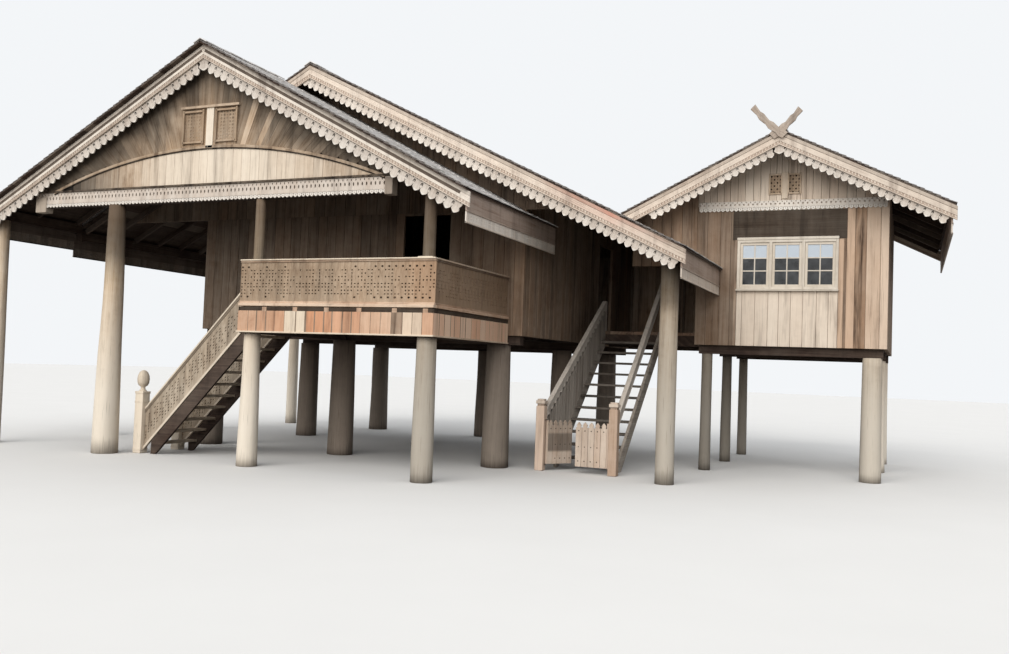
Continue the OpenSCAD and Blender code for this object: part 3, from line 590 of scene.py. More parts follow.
def plankWall(pile, along, span, face, z0, z1, look, thick=0.06, board=0.2, holes=(), seed=0.0):
    # upright planks of uneven width; a hole is given by its two sides, its foot and its head
    marks = [span[0]]
    while marks[-1] + board * 1.3 < span[1]:
        marks.append(marks[-1] + board * (0.82 + 0.36 * chance(marks[-1], seed, 4)))
    marks.append(span[1])
    for a, b, _, _ in holes:
        marks = [m for m in marks if min(abs(m - a), abs(m - b)) > 0.05 or m in span] + [a, b]
    marks = sorted(set(marks))
    for i, (s0, s1) in enumerate(zip(marks, marks[1:])):
        bands = [(z0, z1)]
        for a, b, low, high in holes:
            if s0 >= a - 1e-4 and s1 <= b + 1e-4:
                bands = [(z0, low), (high, z1)]
        own = look(i + seed, (s0 + s1) / 2)
        proud = (chance(i, seed, 8) - 0.5) * 0.006
        for low, high in bands:
            if high - low > 0.01:
                wallBoard(pile, along, s0, s1, face, thick - 0.004 + proud, low, high, own)
        # a slip behind each joint keeps the light out
        if i and not any(a - 1e-4 <= s0 <= b + 1e-4 for a, b, _, _ in holes):
            wallBoard(pile, along, s0 - 0.02, s0 + 0.02, face, 0.02, z0, z1, (-0.6, 0, 0), 0)


# Walls of planks, with their doorways and windows
doors = {"veranda": (-0.9, 0.0), "hall": (1.9, 2.8), "head": 4.26}
window = {"wide": 1.67, "low": 3.17, "high": 4.04, "frame": 0.05, "sash": 0.045, "bar": 0.02,
          "frontX": 4.5, "backX": (-2.235, 4.535), "barsZ": (3.50, 3.72)}


def doorway(place):
    return (*doors[place], house["floor"], doors["head"])


def windowHole(x):
    return (x, x + window["wide"], window["low"], window["high"])


def mainLook(i, s):
    # the main house's planks are dark brown, partly their own colour and partly painted shade under the
    # roofs, a little lighter at the right end
    edge = max(0.0, min(1.0, (s - 0.6) / 0.8))
    return tint(i, 0.06, 0.3, 0.3, (-0.62 + 0.14 * edge, 0.12 + 0.2 * edge, 0.1))


def hallLook(i, s):
    return tint(i, 0.06, 0.3, 0.3, (-0.44, 0.12, 0.1))


def rightLook(i, s):
    # the right house's front: brown at the left, which is painted shade of the middle roof, pale under the
    # window, warm and stained at the right
    if s < 4.47:
        return tint(i, 0.10, 0.3, 0.3, (-0.60, 0.30, 0.1))
    if s < 6.27:
        return tint(i, 0.04, 0.05, 0.05, (0.48, 0.0, 0.05))
    if 6.44 < s < 6.60:
        return (-0.15, 0.45, 0.75)
    return tint(i, 0.12, 0.3, 0.2, (0.44, 0.20, 0.0))


def sideLook(i, s):
    return tint(i, 0.12, 0.3, 0.5, (-0.40, 0.12, 0.1))


def wall(name, node, along, span, face, top, look, seed, holes=(), board=0.2, roof=None, extra=()):
    # one wall from the joists up to its top or the underside of a roof; extra boards come over its planks
    pile = Pile()
    plankWall(pile, along, span, face, house["joist"], top, look, board=board, holes=holes, seed=seed)
    for member in extra:
        pile.board(*member)
    pieceFrom(name, pile, "wallPlanks", [node], underRoof(roof) if roof else ())


mx0, mx1 = house["mainX"]
rx0, rx1 = house["rightX"]
half = house["wall"] / 2
mainFront, mainBack = house["mainY"][0] + half, house["mainY"][1] - half
rightFront, rightBack = house["rightY"][0] + half, house["rightY"][1] - half
mainDepth = (house["mainY"][0] + house["wall"], house["mainY"][1] - house["wall"])
rightDepth = (house["rightY"][0] + house["wall"], house["rightY"][1] - house["wall"])
tops = {"mainLeft": 6.2, "mainRight": 5.2, "right": 5.3}  # they reach above the roof, which cuts them

# the board under the main doorway
left, right = doors["veranda"]
sill = ((left, mainFront, 2.33), (right, mainFront, 2.33), (0, 0, 1), 0.255, 0.05, (-0.4, 0.1, 0))
wall("mainFrontWall", "main_front_wall", "x", (mx0, mx1), mainFront, house["mainTop"], mainLook, 2,
     [doorway("veranda")], 0.19, extra=[sill])
wall("mainBackWall", "main_back_wall", "x", (mx0, mx1), mainBack, house["mainTop"], sideLook, 11,
     [windowHole(window["backX"][0])])
wall("mainLeftWall", "main_left_wall", "y", mainDepth, mx0 + half, tops["mainLeft"], sideLook, 21,
     roof="middle")
wall("mainRightWall", "main_right_wall", "y", mainDepth, mx1 - half, tops["mainRight"], hallLook, 31,
     [doorway("hall")], roof="middle")
# a dark head band over the front window, which is painted shadow of the overhang above, and cover strips
# beside the pale field
covers = [((4.42, -0.008, 4.29), (6.30, -0.008, 4.29), (0, 0, 1), 0.50, 0.012, (-0.86, 0.1, 0.3)),
          ((4.475, -0.009, 2.2), (4.475, -0.009, 4.04), (1, 0, 0), 0.05, 0.014, (-0.35, 0.2, 0.6)),
          ((6.275, -0.009, 2.2), (6.275, -0.009, 4.04), (1, 0, 0), 0.045, 0.014, (-0.45, 0.4, 0.8))]
wall("rightFrontWall", "right_front_wall", "x", (rx0, rx1), rightFront, house["rightTop"], rightLook, 41,
     [windowHole(window["frontX"])], extra=covers)
wall("rightBackWall", "right_back_wall", "x", (rx0, rx1), rightBack, house["rightTop"], sideLook, 51,
     [windowHole(window["backX"][1])])
wall("rightLeftWall", "right_left_wall", "y", rightDepth, rx0 + half, tops["right"], sideLook, 61,
     [doorway("hall")], roof="right")
wall("rightRightWall", "right_right_wall", "y", rightDepth, rx1 - half, tops["right"], sideLook, 71,
     roof="right")
# back of the hall, with battens in its corners
valleyX = house["valleyX"]
battens = [((x, 4.33, house["floor"]), (x, 4.33, 4.9), (1, 0, 0), 0.05, 0.03, (-0.7, 0.1, 0.1))
           for x in (mx1 + 0.02, valleyX)]
wall("hallBackLeft", "hall_walls", "x", (mx1, valleyX), rightBack, tops["mainRight"], sideLook, 81,
     roof="middle", extra=battens)
# the hall's back at the right, and the panel in the step between two roofs
pile = Pile()
plankWall(pile, "x", (valleyX, rx0), rightBack, house["joist"], tops["right"], sideLook, seed=91)
plankWall(pile, "x", (valleyX, rx0), rightFront, 3.6, tops["right"], mainLook, seed=95)
pieceFrom("hallBackRight", pile, "wallPlanks", ["hall_walls"], underRoof("right")[:1])
print("walls done")

# Gable panels of the middle and right houses; flat tops leave room for the ridge beams
gablePlanks = {"x": -7.2, "wide": 0.22, "count": 46, "thick": 0.055, "gap": 0.0035, "top": 6.66}
pile = Pile()
for i in range(gablePlanks["count"]):
    x0 = gablePlanks["x"] + gablePlanks["wide"] * i
    x1 = gablePlanks["x"] + gablePlanks["wide"] * (i + 1)
    for y in (mainFront, mainBack):
        if y < 0 or (x0 > mx0 - 0.2 and x1 < mx1 + 0.2):
            wallBoard(pile, "x", x0, x1, y, gablePlanks["thick"], house["mainTop"], roofs["middle"]["z"],
                      mainLook(i, -1), gablePlanks["gap"])
pieceFrom("middleGablePanels", pile, "wallPlanks", ["middle_gable_panels"],
          underRoof("middle") + [level(gablePlanks["top"], 1)])
rightGable = {"lights": [(5.02, 5.22), (5.33, 5.53)], "lightZ": (4.83, 5.16), "top": 5.57}


def paleLook(i, s):
    # palest under the ridge
    return tint(i, 0.26, 0.2, 0.3, (0.98 - 0.34 * abs(s - roofs["right"]["x"]), 0.10, 0.05))


pile = Pile()
plankWall(pile, "x", (rx0, rx1), rightFront, house["rightTop"], roofs["right"]["z"], paleLook, board=0.13,
          holes=[(a, b, *rightGable["lightZ"]) for a, b in rightGable["lights"]], seed=101)
plankWall(pile, "x", (rx0, rx1), rightBack, house["rightTop"], roofs["right"]["z"], sideLook, seed=111)
pieceFrom("rightGablePanels", pile, "wallPlanks", ["right_gable_panels"],
          underRoof("right") + [level(rightGable["top"], 1)])


def thicken(bm, thick):
    # gives a flat shape its thickness, and the layers for grain and look
    top = bmesh.ops.extrude_face_region(bm, geom=bm.faces[:])["geom"]
    verts = [v for v in top if isinstance(v, bmesh.types.BMVert)]
    bmesh.ops.translate(bm, vec=(0, 0, thick), verts=verts)
    bmesh.ops.recalc_face_normals(bm, faces=bm.faces[:])
    return bm.loops.layers.uv.new("grain"), bm.verts.layers.float_color.new("look")


# Carving: a plate of square cells, some with a hole through them
def carvedCell(hole):
    # one cell, one unit wide; hole gives the half width and half height of its opening, or None
    bm = bmesh.new()
    outer = bmesh.ops.create_circle(bm, segments=8, radius=0.5)["verts"]
    for v in outer:
        reach = max(abs(v.co.x), abs(v.co.y))
        v.co = v.co * (0.5 / reach)
    if hole:
        inner = bmesh.ops.create_circle(bm, segments=8, radius=1.0)["verts"]
        for v in inner:
            v.co.x *= hole[0]
            v.co.y *= hole[1]
        bmesh.ops.bridge_loops(bm, edges=bm.edges[:])
    else:
        bmesh.ops.contextual_create(bm, geom=outer)
    return asMesh("cell", bm)


def carvedPanel(columns, rows, cellWide, cellHigh, thick, pattern):
    # pattern(i, j) names the cell's hole; the panel stands in X and Z from its lower left corner
    kinds = {}
    bm = bmesh.new()
    for i in range(columns):
        for j in range(rows):
            hole = pattern(i, j)
            if hole not in kinds:
                kinds[hole] = carvedCell(hole)
            start = len(bm.verts)
            bm.from_mesh(kinds[hole])
            bm.verts.ensure_lookup_table()
            for v in bm.verts[start:]:
                v.co = Vector(((v.co.x + 0.5 + i) * cellWide, (v.co.y + 0.5 + j) * cellHigh, 0))
    bmesh.ops.remove_doubles(bm, verts=bm.verts[:], dist=1e-4)
    grain, own = thicken(bm, thick)
    for v in bm.verts:
        v[own] = (0, 0, 0, 1)
    for face in bm.faces:
        for loop in face.loops:
            loop[grain].uv = (loop.vert.co.y, loop.vert.co.x + loop.vert.co.z)
    # stand it up: the plate's own Y becomes Z, its thickness goes into the depth
    stand = Matrix(((1, 0, 0, 0), (0, 0, -1, 0), (0, 1, 0, 0), (0, 0, 0, 1)))
    bmesh.ops.transform(bm, matrix=stand, verts=bm.verts[:])
    bmesh.ops.translate(bm, vec=(0, thick, 0), verts=bm.verts[:])
    for cell in kinds.values():
        bpy.data.meshes.remove(cell)
    return asMesh("carvedUnit", bm)


def carvedDrop(width, height, hole, thick):
    # a hanging drop with a hole, its top middle at the origin
    bm = bmesh.new()
    outer = bmesh.ops.create_circle(bm, segments=12, radius=0.5)["verts"]
    bmesh.ops.create_circle(bm, segments=12, radius=hole)
    for v in outer:
        if v.co.y < -0.45:
            v.co.y = -0.62
        elif v.co.y > 0.3:
            v.co.y = 0.5
            v.co.x *= 1.3
    bmesh.ops.bridge_loops(bm, edges=bm.edges[:])
    grain, own = thicken(bm, thick)
    high = height / 1.12
    for v in bm.verts:
        v[own] = (0, 0, 0, 1)
        v.co = Vector((v.co.x * width, v.co.z, (v.co.y - 0.5) * high))
    for face in bm.faces:
        for loop in face.loops:
            loop[grain].uv = (loop.vert.co.z, loop.vert.co.x)
    return asMesh("drop", bm)


# Bargeboards and their carved fringes; depths are measured down from the top of the roof
barge = {"top": 0.061, "foot": 0.281, "thick": 0.035, "fringeThick": 0.02,
         "dotPitch": 0.048, "dotFoot": 0.255}
# depths of the groove, of the pale band's foot, and of the fringe's head and foot, then the fringe's pitch
# and how pale the upper bands are; on the left roof that paleness is painted light against the verge's
# shadow
trims = {
    "left": {"groove": 0.124, "band": 0.218, "head": 0.244, "foot": 0.474, "pitch": 0.143, "pale": 0.85},
    "middle": {"groove": 0.124, "band": 0.216, "head": 0.236, "foot": 0.462, "pitch": 0.1255, "pale": 0.0},
    "right": {"groove": 0.124, "band": 0.216, "head": 0.240, "foot": 0.430, "pitch": 0.126, "pale": 0.0},
}
# half width of a fringe tongue from its head to its point
tongueShape = [0.5, 0.5, 0.5, 0.5, 0.47, 0.38, 0.36, 0.42, 0.46, 0.38, 0.24, 0.06]


def tongueTone(low):
    # bleached at the point, darker at the waist
    if low > 0.86:
        return 0.40
    return -0.10 if 0.3 < low < 0.55 else 0.0


def fringeUnit(pitch, drop):
    # a carved tongue under a band with two small holes; it hangs from the origin, one pitch wide
    bm = bmesh.new()
    rows = len(tongueShape) - 1
    bmesh.ops.create_grid(bm, x_segments=6, y_segments=rows, size=0.5)
    for v in bm.verts:
        part = round((0.5 - v.co.y) * rows)
        v.co.x *= 2 * tongueShape[part]
        v.co.y = -(part / rows) ** 0.9
        if part == rows:
            v.co.y += 0.02 * abs(v.co.x)
    holes = []
    for face in bm.faces:
        c = face.calc_center_median()
        if -0.24 < c.y < -0.16 and 0.15 < abs(c.x) < 0.35:
            holes.append(face)
    bmesh.ops.delete(bm, geom=holes, context="FACES")
    grain, own = thicken(bm, barge["fringeThick"])
    for v in bm.verts:
        low = -v.co.y
        v[own] = (tongueTone(low), 0.0, 0.12 if low < 0.5 else 0.0, 1)
        v.co = Vector((v.co.x * pitch, v.co.z, v.co.y * drop))
    for face in bm.faces:
        for loop in face.loops:
            loop[grain].uv = (loop.vert.co.z, loop.vert.co.x)
    return asMesh("tongue", bm)


def bargeRun(pile, roof, x0, x1, y, facing=-1, tone=0.0):
    # layers of one bargeboard; y is the outer face, and facing -1 looks to the front
    trim = trims[roof]
    z0, z1 = roofTop(roof, x0), roofTop(roof, x1)

    def band(d0, d1, back, look, cuts=0):
        inner = y - facing * barge["thick"]
        pile.strip(x0, z0 - d0, x1, z1 - d0, y - facing * back, inner, d1 - d0, look, cuts)

    def worn(base, red=0.6):
        def look(p):
            blot = noise.noise(Vector((p.x * 2.3, y, p.z * 2.3)))
            heat = 0.0
            if roof == "middle" and facing < 0:
                heat = red * max(0.0, 1 - abs(p.x - 2.95) / 1.1) * (0.6 + 0.5 * noise.noise(p * 5))
            return (base + tone + 0.10 * blot, max(0.0, heat), max(0.0, 0.12 + blot * 0.4))
        return look
    n = max(8, round(abs(x1 - x0) * 5))
    # pale lifts the upper bands; on the left roof it is painted light against the shadow of the verge
    groove, low, pale = trim["groove"], trim["band"], trim["pale"]
    band(barge["top"], groove - 0.004, 0.000, worn(pale - 0.22, 1.0), n)
    # a dark groove: painted shade in the recess
    band(groove - 0.007, groove + 0.004, 0.012, (-0.70, 0, 0))
    band(groove, low, 0.005, worn(pale + 0.12, 0.3), n)
    # a dark band behind the row of blocks: painted shade between them
    band(low - 0.002, 0.264, 0.014, (-0.34, 0.1, 0))
    band(0.262, barge["foot"], 0.003, worn(0.06, 0.1), n)
    # a row of small blocks between the two lower mouldings
    count = int(abs(x1 - x0) / barge["dotPitch"])
    k = (z1 - z0) / (x1 - x0)
    for i in range(count):
        x = x0 + (i + 0.5) * (x1 - x0) / count
        z = roofTop(roof, x) - low - 0.003
        own = (0.02 + tone + (chance(i, x0) - 0.5) * 0.2, 0, 0.1)
        pile.strip(x - 0.012, z - 0.012 * k, x + 0.012, z + 0.012 * k,
                   y - facing * 0.005, y - facing * 0.020, barge["dotFoot"] - low, own)


def fringeRun(pile, roof, x0, x1, y, tone=0.0):
    # carved tongues square to the slope, from x0 to x1, behind the board's lower edge
    trim = trims[roof]
    z0, z1 = roofTop(roof, x0), roofTop(roof, x1)
    run = Vector((x1 - x0, 0, z1 - z0))
    u = run.normalized()
    down = Vector((u.z, 0, -u.x))
    start = Vector((x0, y, z0)) + down * (trim["head"] * u.x)
    n = round(run.length / trim["pitch"])
    pitch = run.length / n
    drop = (trim["foot"] - trim["head"]) * u.x
    tongue = fringeUnit(pitch, drop)
    bead = carvedDrop(pitch * 0.30, drop * 0.42, 0.12, barge["fringeThick"] * 0.7)
    turn = Matrix((u, Vector((0, 1, 0)), -down)).transposed().to_4x4()
    for i in range(n):
        own = tint(i + x0 * 3, 0.09, 0.06, 0.15, (0.34 + tone, 0, 0))
        m = turn.copy()
        m.translation = start + u * ((i + 0.5) * pitch)
        if roof != "middle" and abs(m.translation.x - roofs[roof]["x"]) < pitch:
            continue  # the apex has one upright tongue of its own
        pile.unit(tongue, m, own)
        m = turn.copy()
        m.translation = start + u * (i * pitch) + down * drop * 0.28
        if i:
            pile.unit(bead, m, (own[0] - 0.04, 0, 0.05))


ridge = {name: r["x"] for name, r in roofs.items()}
farLeft, farRight = roofs["left"]["eaves"][0], roofs["right"]["eaves"][1]
bargeSpans = {"left": [(farLeft, ridge["left"]), (ridge["left"], roofs["left"]["eaves"][1])],
              "middle": [(-2.98, ridge["middle"]), (ridge["middle"], roofs["middle"]["eaves"][1])],
              "right": [(2.575, ridge["right"]), (ridge["right"], farRight)]}
fringeSpans = {"left": bargeSpans["left"], "middle": bargeSpans["middle"][1:],
               "right": [(2.96, ridge["right"]), (ridge["right"], farRight)]}
backSpans = [("middle", farLeft, ridge["middle"]), ("middle", ridge["middle"], 2.62),
             ("right", 2.63, ridge["right"]), ("right", ridge["right"], farRight)]
# the right gable's left board is scribed to the middle roof
overMiddle = [(Vector((ridge["middle"], 0, 6.925)), Vector((-roofs["middle"]["kR"], 0, -1)).normalized())]
fringes = Pile()
for roof in ("left", "right"):
    trim, r = trims[roof], roofs[roof]
    apex = Vector((r["x"], r["boards"] + barge["thick"] - 0.003, r["z"] - trim["head"]))
    tongue = fringeUnit(trim["pitch"] * 1.5, trim["foot"] - trim["head"])
    fringes.unit(tongue, Matrix.Translation(apex), (0.2, 0, 0))
for roof, spans in bargeSpans.items():
    pile = Pile()
    face = roofs[roof]["boards"]
    for x0, x1 in spans:
        # the board at the far left is dimmer
        bargeRun(pile, roof, x0, x1, face, tone=-0.12 if x0 == farLeft else 0.0)
    planes = overMiddle if roof == "right" else ()
    pieceFrom(roof + "Bargeboards", pile, "trimBoards", [roof + "_bargeboards"], planes, 0.003)
    for x0, x1 in fringeSpans[roof]:
        fringeRun(fringes, roof, x0, x1, face + barge["thick"], -0.08 if x0 == farLeft else 0.0)
asPiece("bargeFringes", fringes.join(), "carvedWood", ["barge_fringes"])
pile = Pile()
for roof, x0, x1 in backSpans:
    bargeRun(pile, roof, x0, x1, house["back"] + 0.035, facing=1)
pieceFrom("backBargeboards", pile, "trimBoards", ["back_bargeboards"], bevel=0.003)
print("bargeboards and fringes done")

# Boards along the eaves: a dark upper band, a dark board deepened with painted shade under the tiles, then
# a carved strip with slits
eaves = [("left", 1.67, 1, -4.905, -1.35), ("left", -7.93, -1, -4.905, -3.0),
         ("middle", -7.93, -1, -2.999, 5.015), ("middle", 4.26, 1, -2.945, 0.0),
         ("right", 7.93, 1, -0.645, 5.015)]
eave = {"inset": 0.06, "thick": 0.025, "height": 0.455, "band": 0.285, "unit": 0.088}
# tones of the carved strips, by roof and side; the others have the usual one
carvingTones = {("left", 1): 0.95, ("left", -1): -0.6, ("middle", -1): -0.6}
usualTone = 0.3
slitHoles = {(0, 0): (0.14, 0.20), (1, 1): (0.12, 0.30), (1, 2): (0.17, 0.44)}
slits = carvedPanel(2, 4, eave["unit"] / 2, (eave["height"] - eave["band"]) / 4, eave["thick"] * 0.8,
                    lambda i, j: slitHoles.get((i, j)))
pile, carved = Pile(), Pile()
for roof, edge, side, y0, y1 in eaves:
    x = edge - side * (eave["inset"] + eave["thick"] / 2)
    top = roofTop(roof, edge - side * eave["inset"]) - underside
    # the upper band carries painted shade under the tiles, deeper on the sides that face left
    bandShadeTone = -0.42 if side > 0 else -0.8
    pile.sideRail(x, y0, y1, top - eave["band"] / 2, eave["band"], eave["thick"],
                  lambda p: (bandShadeTone + 0.1 * noise.noise(p * 3), 0.15, 0.1), cuts=int((y1 - y0) * 4))
    pile.sideRail(x + side * 0.006, y0, y1, top - eave["band"] - 0.004, 0.022, 0.03, (-0.35, 0.1, 0.2))
    pile.sideRail(x + side * 0.004, y0, y1, top - eave["height"] + 0.012, 0.024, 0.028, (0.20, 0.0, 0.0))
    n = round((y1 - y0) / eave["unit"])
    step = (y1 - y0) / n
    tone = carvingTones.get((roof, side), usualTone)
    for i in range(n):
        m = Matrix.Translation((x + eave["thick"] * 0.4, y0 + i * step, top - eave["height"]))
        m = m @ Matrix.Rotation(math.pi / 2, 4, "Z") @ Matrix.Diagonal((step / eave["unit"], 1, 1, 1))
        carved.unit(slits, m, tint(i + edge, 0.08, 0.15, 0.2, (tone, 0.16, 0)))
pieceFrom("eaveBands", pile, "trimBoards", ["eave_boards"], bevel=0.003)
asPiece("eaveCarvings", carved.join(), "carvedWood", ["eave_boards"])

# Roof coverings: flat tiles in courses on a boarded deck, with rafters under it
tile = {"wide": 0.15, "show": 0.13, "long": 0.19, "thick": 0.013, "lift": 0.018, "bed": 0.026,
        "joint": 0.003}
deckBoard = {"wide": 0.22, "thick": 0.018, "down": 0.043, "joint": 0.004}
rafter = {"pitch": 0.62, "fromEdge": 0.12, "fromEnd": 0.10, "down": 0.104, "wide": 0.055, "high": 0.095}
# fields of each slope: X at the foot and at the head, then Y from the front to the back
slopes = [
    ("leftRoofTiles", "left_roof_slopes", "left",
     [(-7.93, -3.13, -5.05, -2.98), (1.67, -3.13, -5.05, -3.0), (1.67, -2.83, -3.0, -2.2),
      (1.67, 1.403, -2.2, -1.35)]),
    ("middleLeftTiles", "middle_left_slope", "middle", [(-7.93, -2.48, -3.0, 5.015)]),
    ("middleRightTiles", "middle_right_slope", "middle",
     [(4.26, -2.48, -3.0, 0.0), (2.63, -2.48, 0.0, 5.015)]),
    ("rightLeftTiles", "right_left_slope", "right", [(2.57, 5.25, -0.7, 5.015)]),
    ("rightRightTiles", "right_right_slope", "right", [(7.93, 5.25, -0.7, 5.015)]),
]


def alongY(y):
    # a shift along Y
    return Vector((0, y, 0))


def vergeLook(front):
    # dark front edge of the verge tiles
    return lambda p: (-0.75 if p.y < front + 0.02 else 0.9, 0.0, 0.0)


def skySheenLook(own, edge):
    # lower edges of the tiles, which show from below the eave at a grazing angle, made pale as a painted
    # reflection of the sky
    return lambda p: (1.6 if p.x > edge - 0.02 else own[0], own[1] * 0.3, own[2])


def tileField(tiles, roof, low, y0, y1, foot, up, out, length):
    # courses of tiles, every second one shifted by half a tile
    rows = int(length / tile["show"])
    show = length / rows
    cols = max(1, round((y1 - y0) / tile["wide"]))
    wide = (y1 - y0) / cols
    for j in range(rows):
        for i in range(cols + j % 2):
            y = y0 + (i + 0.5 - 0.5 * (j % 2)) * wide
            a, b = max(y - wide / 2, y0), min(y + wide / 2, y1)
            if b - a < 0.03:
                continue
            y = (a + b) / 2
            lie = (chance(i + y0, j, low) - 0.5) * 0.006
            start = foot + up * (j * show) + out * (tile["lift"] - tile["bed"] + lie)
            end = foot + up * min(j * show + tile["long"], length) - out * (tile["bed"] - lie * 0.3)
            shade = 0.25 + 0.75 * chance(i + low, j + y0, 6)
            own = (shade, chance(j, i, low) ** 4, chance(i * 0.1, j * 0.1, 3))
            if y0 == roofs[roof]["front"] and i == 0:
                own = vergeLook(y0)
            # the left roof's right slope gets a painted sky reflection on its tile edges
            elif low == roofs["left"]["eaves"][1]:
                own = skySheenLook(own, start.x)
            tiles.board(start + alongY(y), end + alongY(y), (0, 1, 0), b - a - tile["joint"],
                        tile["thick"], own)


rafters = Pile()
for name, node, roof, fields in slopes:
    tiles, deck = Pile(), Pile()
    if name == "leftRoofTiles":
        # this board closes the step above the middle roof
        tiles.strip(-7.9, roofTop(roof, -7.9) - 0.02, -3.1, roofTop(roof, -3.15) - 0.02,
                    -2.975, -2.95, 0.125, (0.2, 0.2, 0.4))
    for low, high, y0, y1 in fields:
        foot = Vector((low, 0, roofTop(roof, low)))
        head = Vector((high, 0, roofTop(roof, high)))
        up = (head - foot).normalized()
        out = Vector((0, 1, 0)).cross(up)
        if out.z < 0:
            out = -out
        length = (head - foot).length
        tileField(tiles, roof, low, y0, y1, foot, up, out, length)
        # deck boards run along the roof
        n = int(length / deckBoard["wide"])
        for j in range(n):
            p = foot + up * ((j + 0.5) * length / n) - out * deckBoard["down"]
            deck.board(p + alongY(y0), p + alongY(y1), up, length / n - deckBoard["joint"],
                       deckBoard["thick"], tint(j + low, 0.2, 0.2, 0.2))
        count = max(2, round((y1 - y0) / rafter["pitch"]))
        inset = up * rafter["fromEnd"]
        down = out * rafter["down"]
        for i in range(count):
            y = y0 + rafter["fromEdge"] + i * (y1 - y0 - 2 * rafter["fromEdge"]) / (count - 1)
            rafters.board(foot + inset - down + alongY(y), head - inset - down + alongY(y), (0, 1, 0),
                          rafter["wide"], rafter["high"], tint(i, 0.2, 0.2, 0.2))
    asPiece(name, tiles.join(), "roofTiles", [node])
    asPiece(name.replace("Tiles", "Deck"), deck.join(), "frameWood", [node])
asPiece("rafters", rafters.join(), "frameWood", bevel=0.004)
# ridge caps
cap = {"long": 0.3, "lap": 0.02, "wide": 0.15, "thick": 0.016, "fromRidge": 0.07}
caps = Pile()
for roof, y0, y1 in (("left", -5.05, -3.0), ("middle", -3.0, house["back"]),
                     ("right", -0.7, house["back"])):
    r = roofs[roof]
    n = round((y1 - y0) / cap["long"])
    for i in range(n):
        start = y0 + i * (y1 - y0) / n
        end = y0 + (i + 1) * (y1 - y0) / n + (cap["lap"] if i < n - 1 else 0)
        for side, k in ((-1, r["kL"]), (1, r["kR"])):
            down = Vector((side, 0, -k)).normalized()
            out = Vector((side * k, 0, 1)).normalized()
            top = Vector((r["x"], 0, r["z"] + 0.012 - (i % 2) * 0.003))
            p = top + down * cap["fromRidge"] + out * 0.003
            caps.board(p + alongY(start), p + alongY(end), down, cap["wide"], cap["thick"],
                       (chance(i, side, k), 0.1, 0.6))
asPiece("ridgeCaps", caps.join(), "roofTiles", bevel=0.003)
print("roofs done")

# Veranda: skirt, rails with carved panels, floor boards
vx0, vx1 = house["verandaX"]
vy0, vy1 = house["verandaY"]
skirt = {"low": 2.06, "high": 2.395, "thick": 0.025, "board": 0.17, "ledge": 2.42,
         "blocks": (-1.75, -1.19, -0.63, -0.07, 0.52, 1.02)}
# colours of the front skirt from left to right, each up to its mark
skirtColours = [(-1.9, (0.0, 0.35, 0.1)), (-1.28, (-0.05, 0.5, 0.1)), (-1.0, (0.5, 0.0, 0.0)),
                (-0.46, (0.0, 0.75, 0.05)), (-0.06, (0.08, 0.6, 0.1)), (0.54, (0.16, 0.3, 0.05)),
                (0.66, (-0.35, 0.0, 0.5)), (1.0, (0.5, 0.12, 0.0)), (9.0, (0.1, 0.5, 0.0))]


def skirtLook(i, s):
    base = next(colour for end, colour in skirtColours if s < end)
    return tint(i, 0.05, 0.15, 0.25, base)


def sideSkirtLook(i, s):
    # the side skirts get the palest tone, painted light where the lamps only graze them
    return tint(i, 0.06, 0.3, 0.1, (1.0, 0.45, 0.0))


pile = Pile()
skirtFoot = skirt["low"] + 0.02
plankWall(pile, "x", (vx0, vx1), vy0 + 0.0125, skirtFoot, skirt["high"], skirtLook, skirt["thick"],
          skirt["board"], seed=3)
# a dark strip under the ledge: painted shadow of the ledge
pile.rail(vx0, vx1, vy0 + 0.019, skirt["ledge"], 0.065, 0.01, (-0.88, 0, 0.2))
for x, side in ((vx0 + 0.0125, -1), (vx1 - 0.0125, 1)):
    plankWall(pile, "y", (vy0 + 0.0255, vy1), x, skirtFoot, skirt["high"], sideSkirtLook, skirt["thick"],
              skirt["board"], seed=5 + x)
    # the same painted shadow under the side ledges
    pile.sideRail(x - side * 0.005, vy0, vy1, skirt["ledge"], 0.065, 0.012, (-0.88, 0, 0.2))
# small blocks under the ledge, where joists end, and the thin strip along the skirt's foot
for x in skirt["blocks"]:
    pile.rail(x - 0.04, x + 0.04, vy0 + 0.012, skirt["ledge"], 0.07, 0.02, (-0.1, 0.2, 0.2))
low = skirt["low"] + 0.012
pile.shelf(vx0 - 0.012, vx1 + 0.012, vy0 + 0.008, low, 0.045, 0.024, (0.5, 0.0, 0.0))
for x in (vx0 + 0.008, vx1 - 0.008):
    pile.sideShelf(x, vy0 + 0.03, vy1, low, 0.045, 0.024, (0.2, 0.0, 0.1))
pieceFrom("verandaSkirt", pile, "verandaPlanks", ["veranda_skirt"], bevel=0.003)

rail = {"unit": 0.114, "thick": 0.02, "wide": 0.09, "low": 2.535, "high": 3.139, "rows": 12,
        "slots": (-0.76, -0.30, 0.92), "gap": (-4.25, -3.4)}
kinds = 5  # patterns of carved boards; the last one has a tall slot


def railUnit(kind, high, plain=False):
    # one carved board in two columns: a hole at its head and its foot, and small pits between
    def pattern(i, j):
        if j in (0, rail["rows"] - 1):
            return None
        if j in (1, rail["rows"] - 2):
            return (0.36, 0.32) if i == 0 and not plain else None
        if kind == kinds - 1 and i == 1 and 4 < j < 9:
            return (0.16, 0.47)
        dice = chance(i + kind * 3, j, kind)
        if dice > 0.68:
            return (0.22, 0.27)
        return (0.30, 0.17) if dice > 0.48 else None
    return carvedPanel(2, rail["rows"], rail["unit"] / 2, high / rail["rows"], rail["thick"], pattern)


railHigh = rail["high"] - rail["low"]
# the carved boards, and then the same ones without the holes at head and foot
railUnits = [railUnit(kind, railHigh, plain) for plain in (False, True) for kind in range(kinds)]


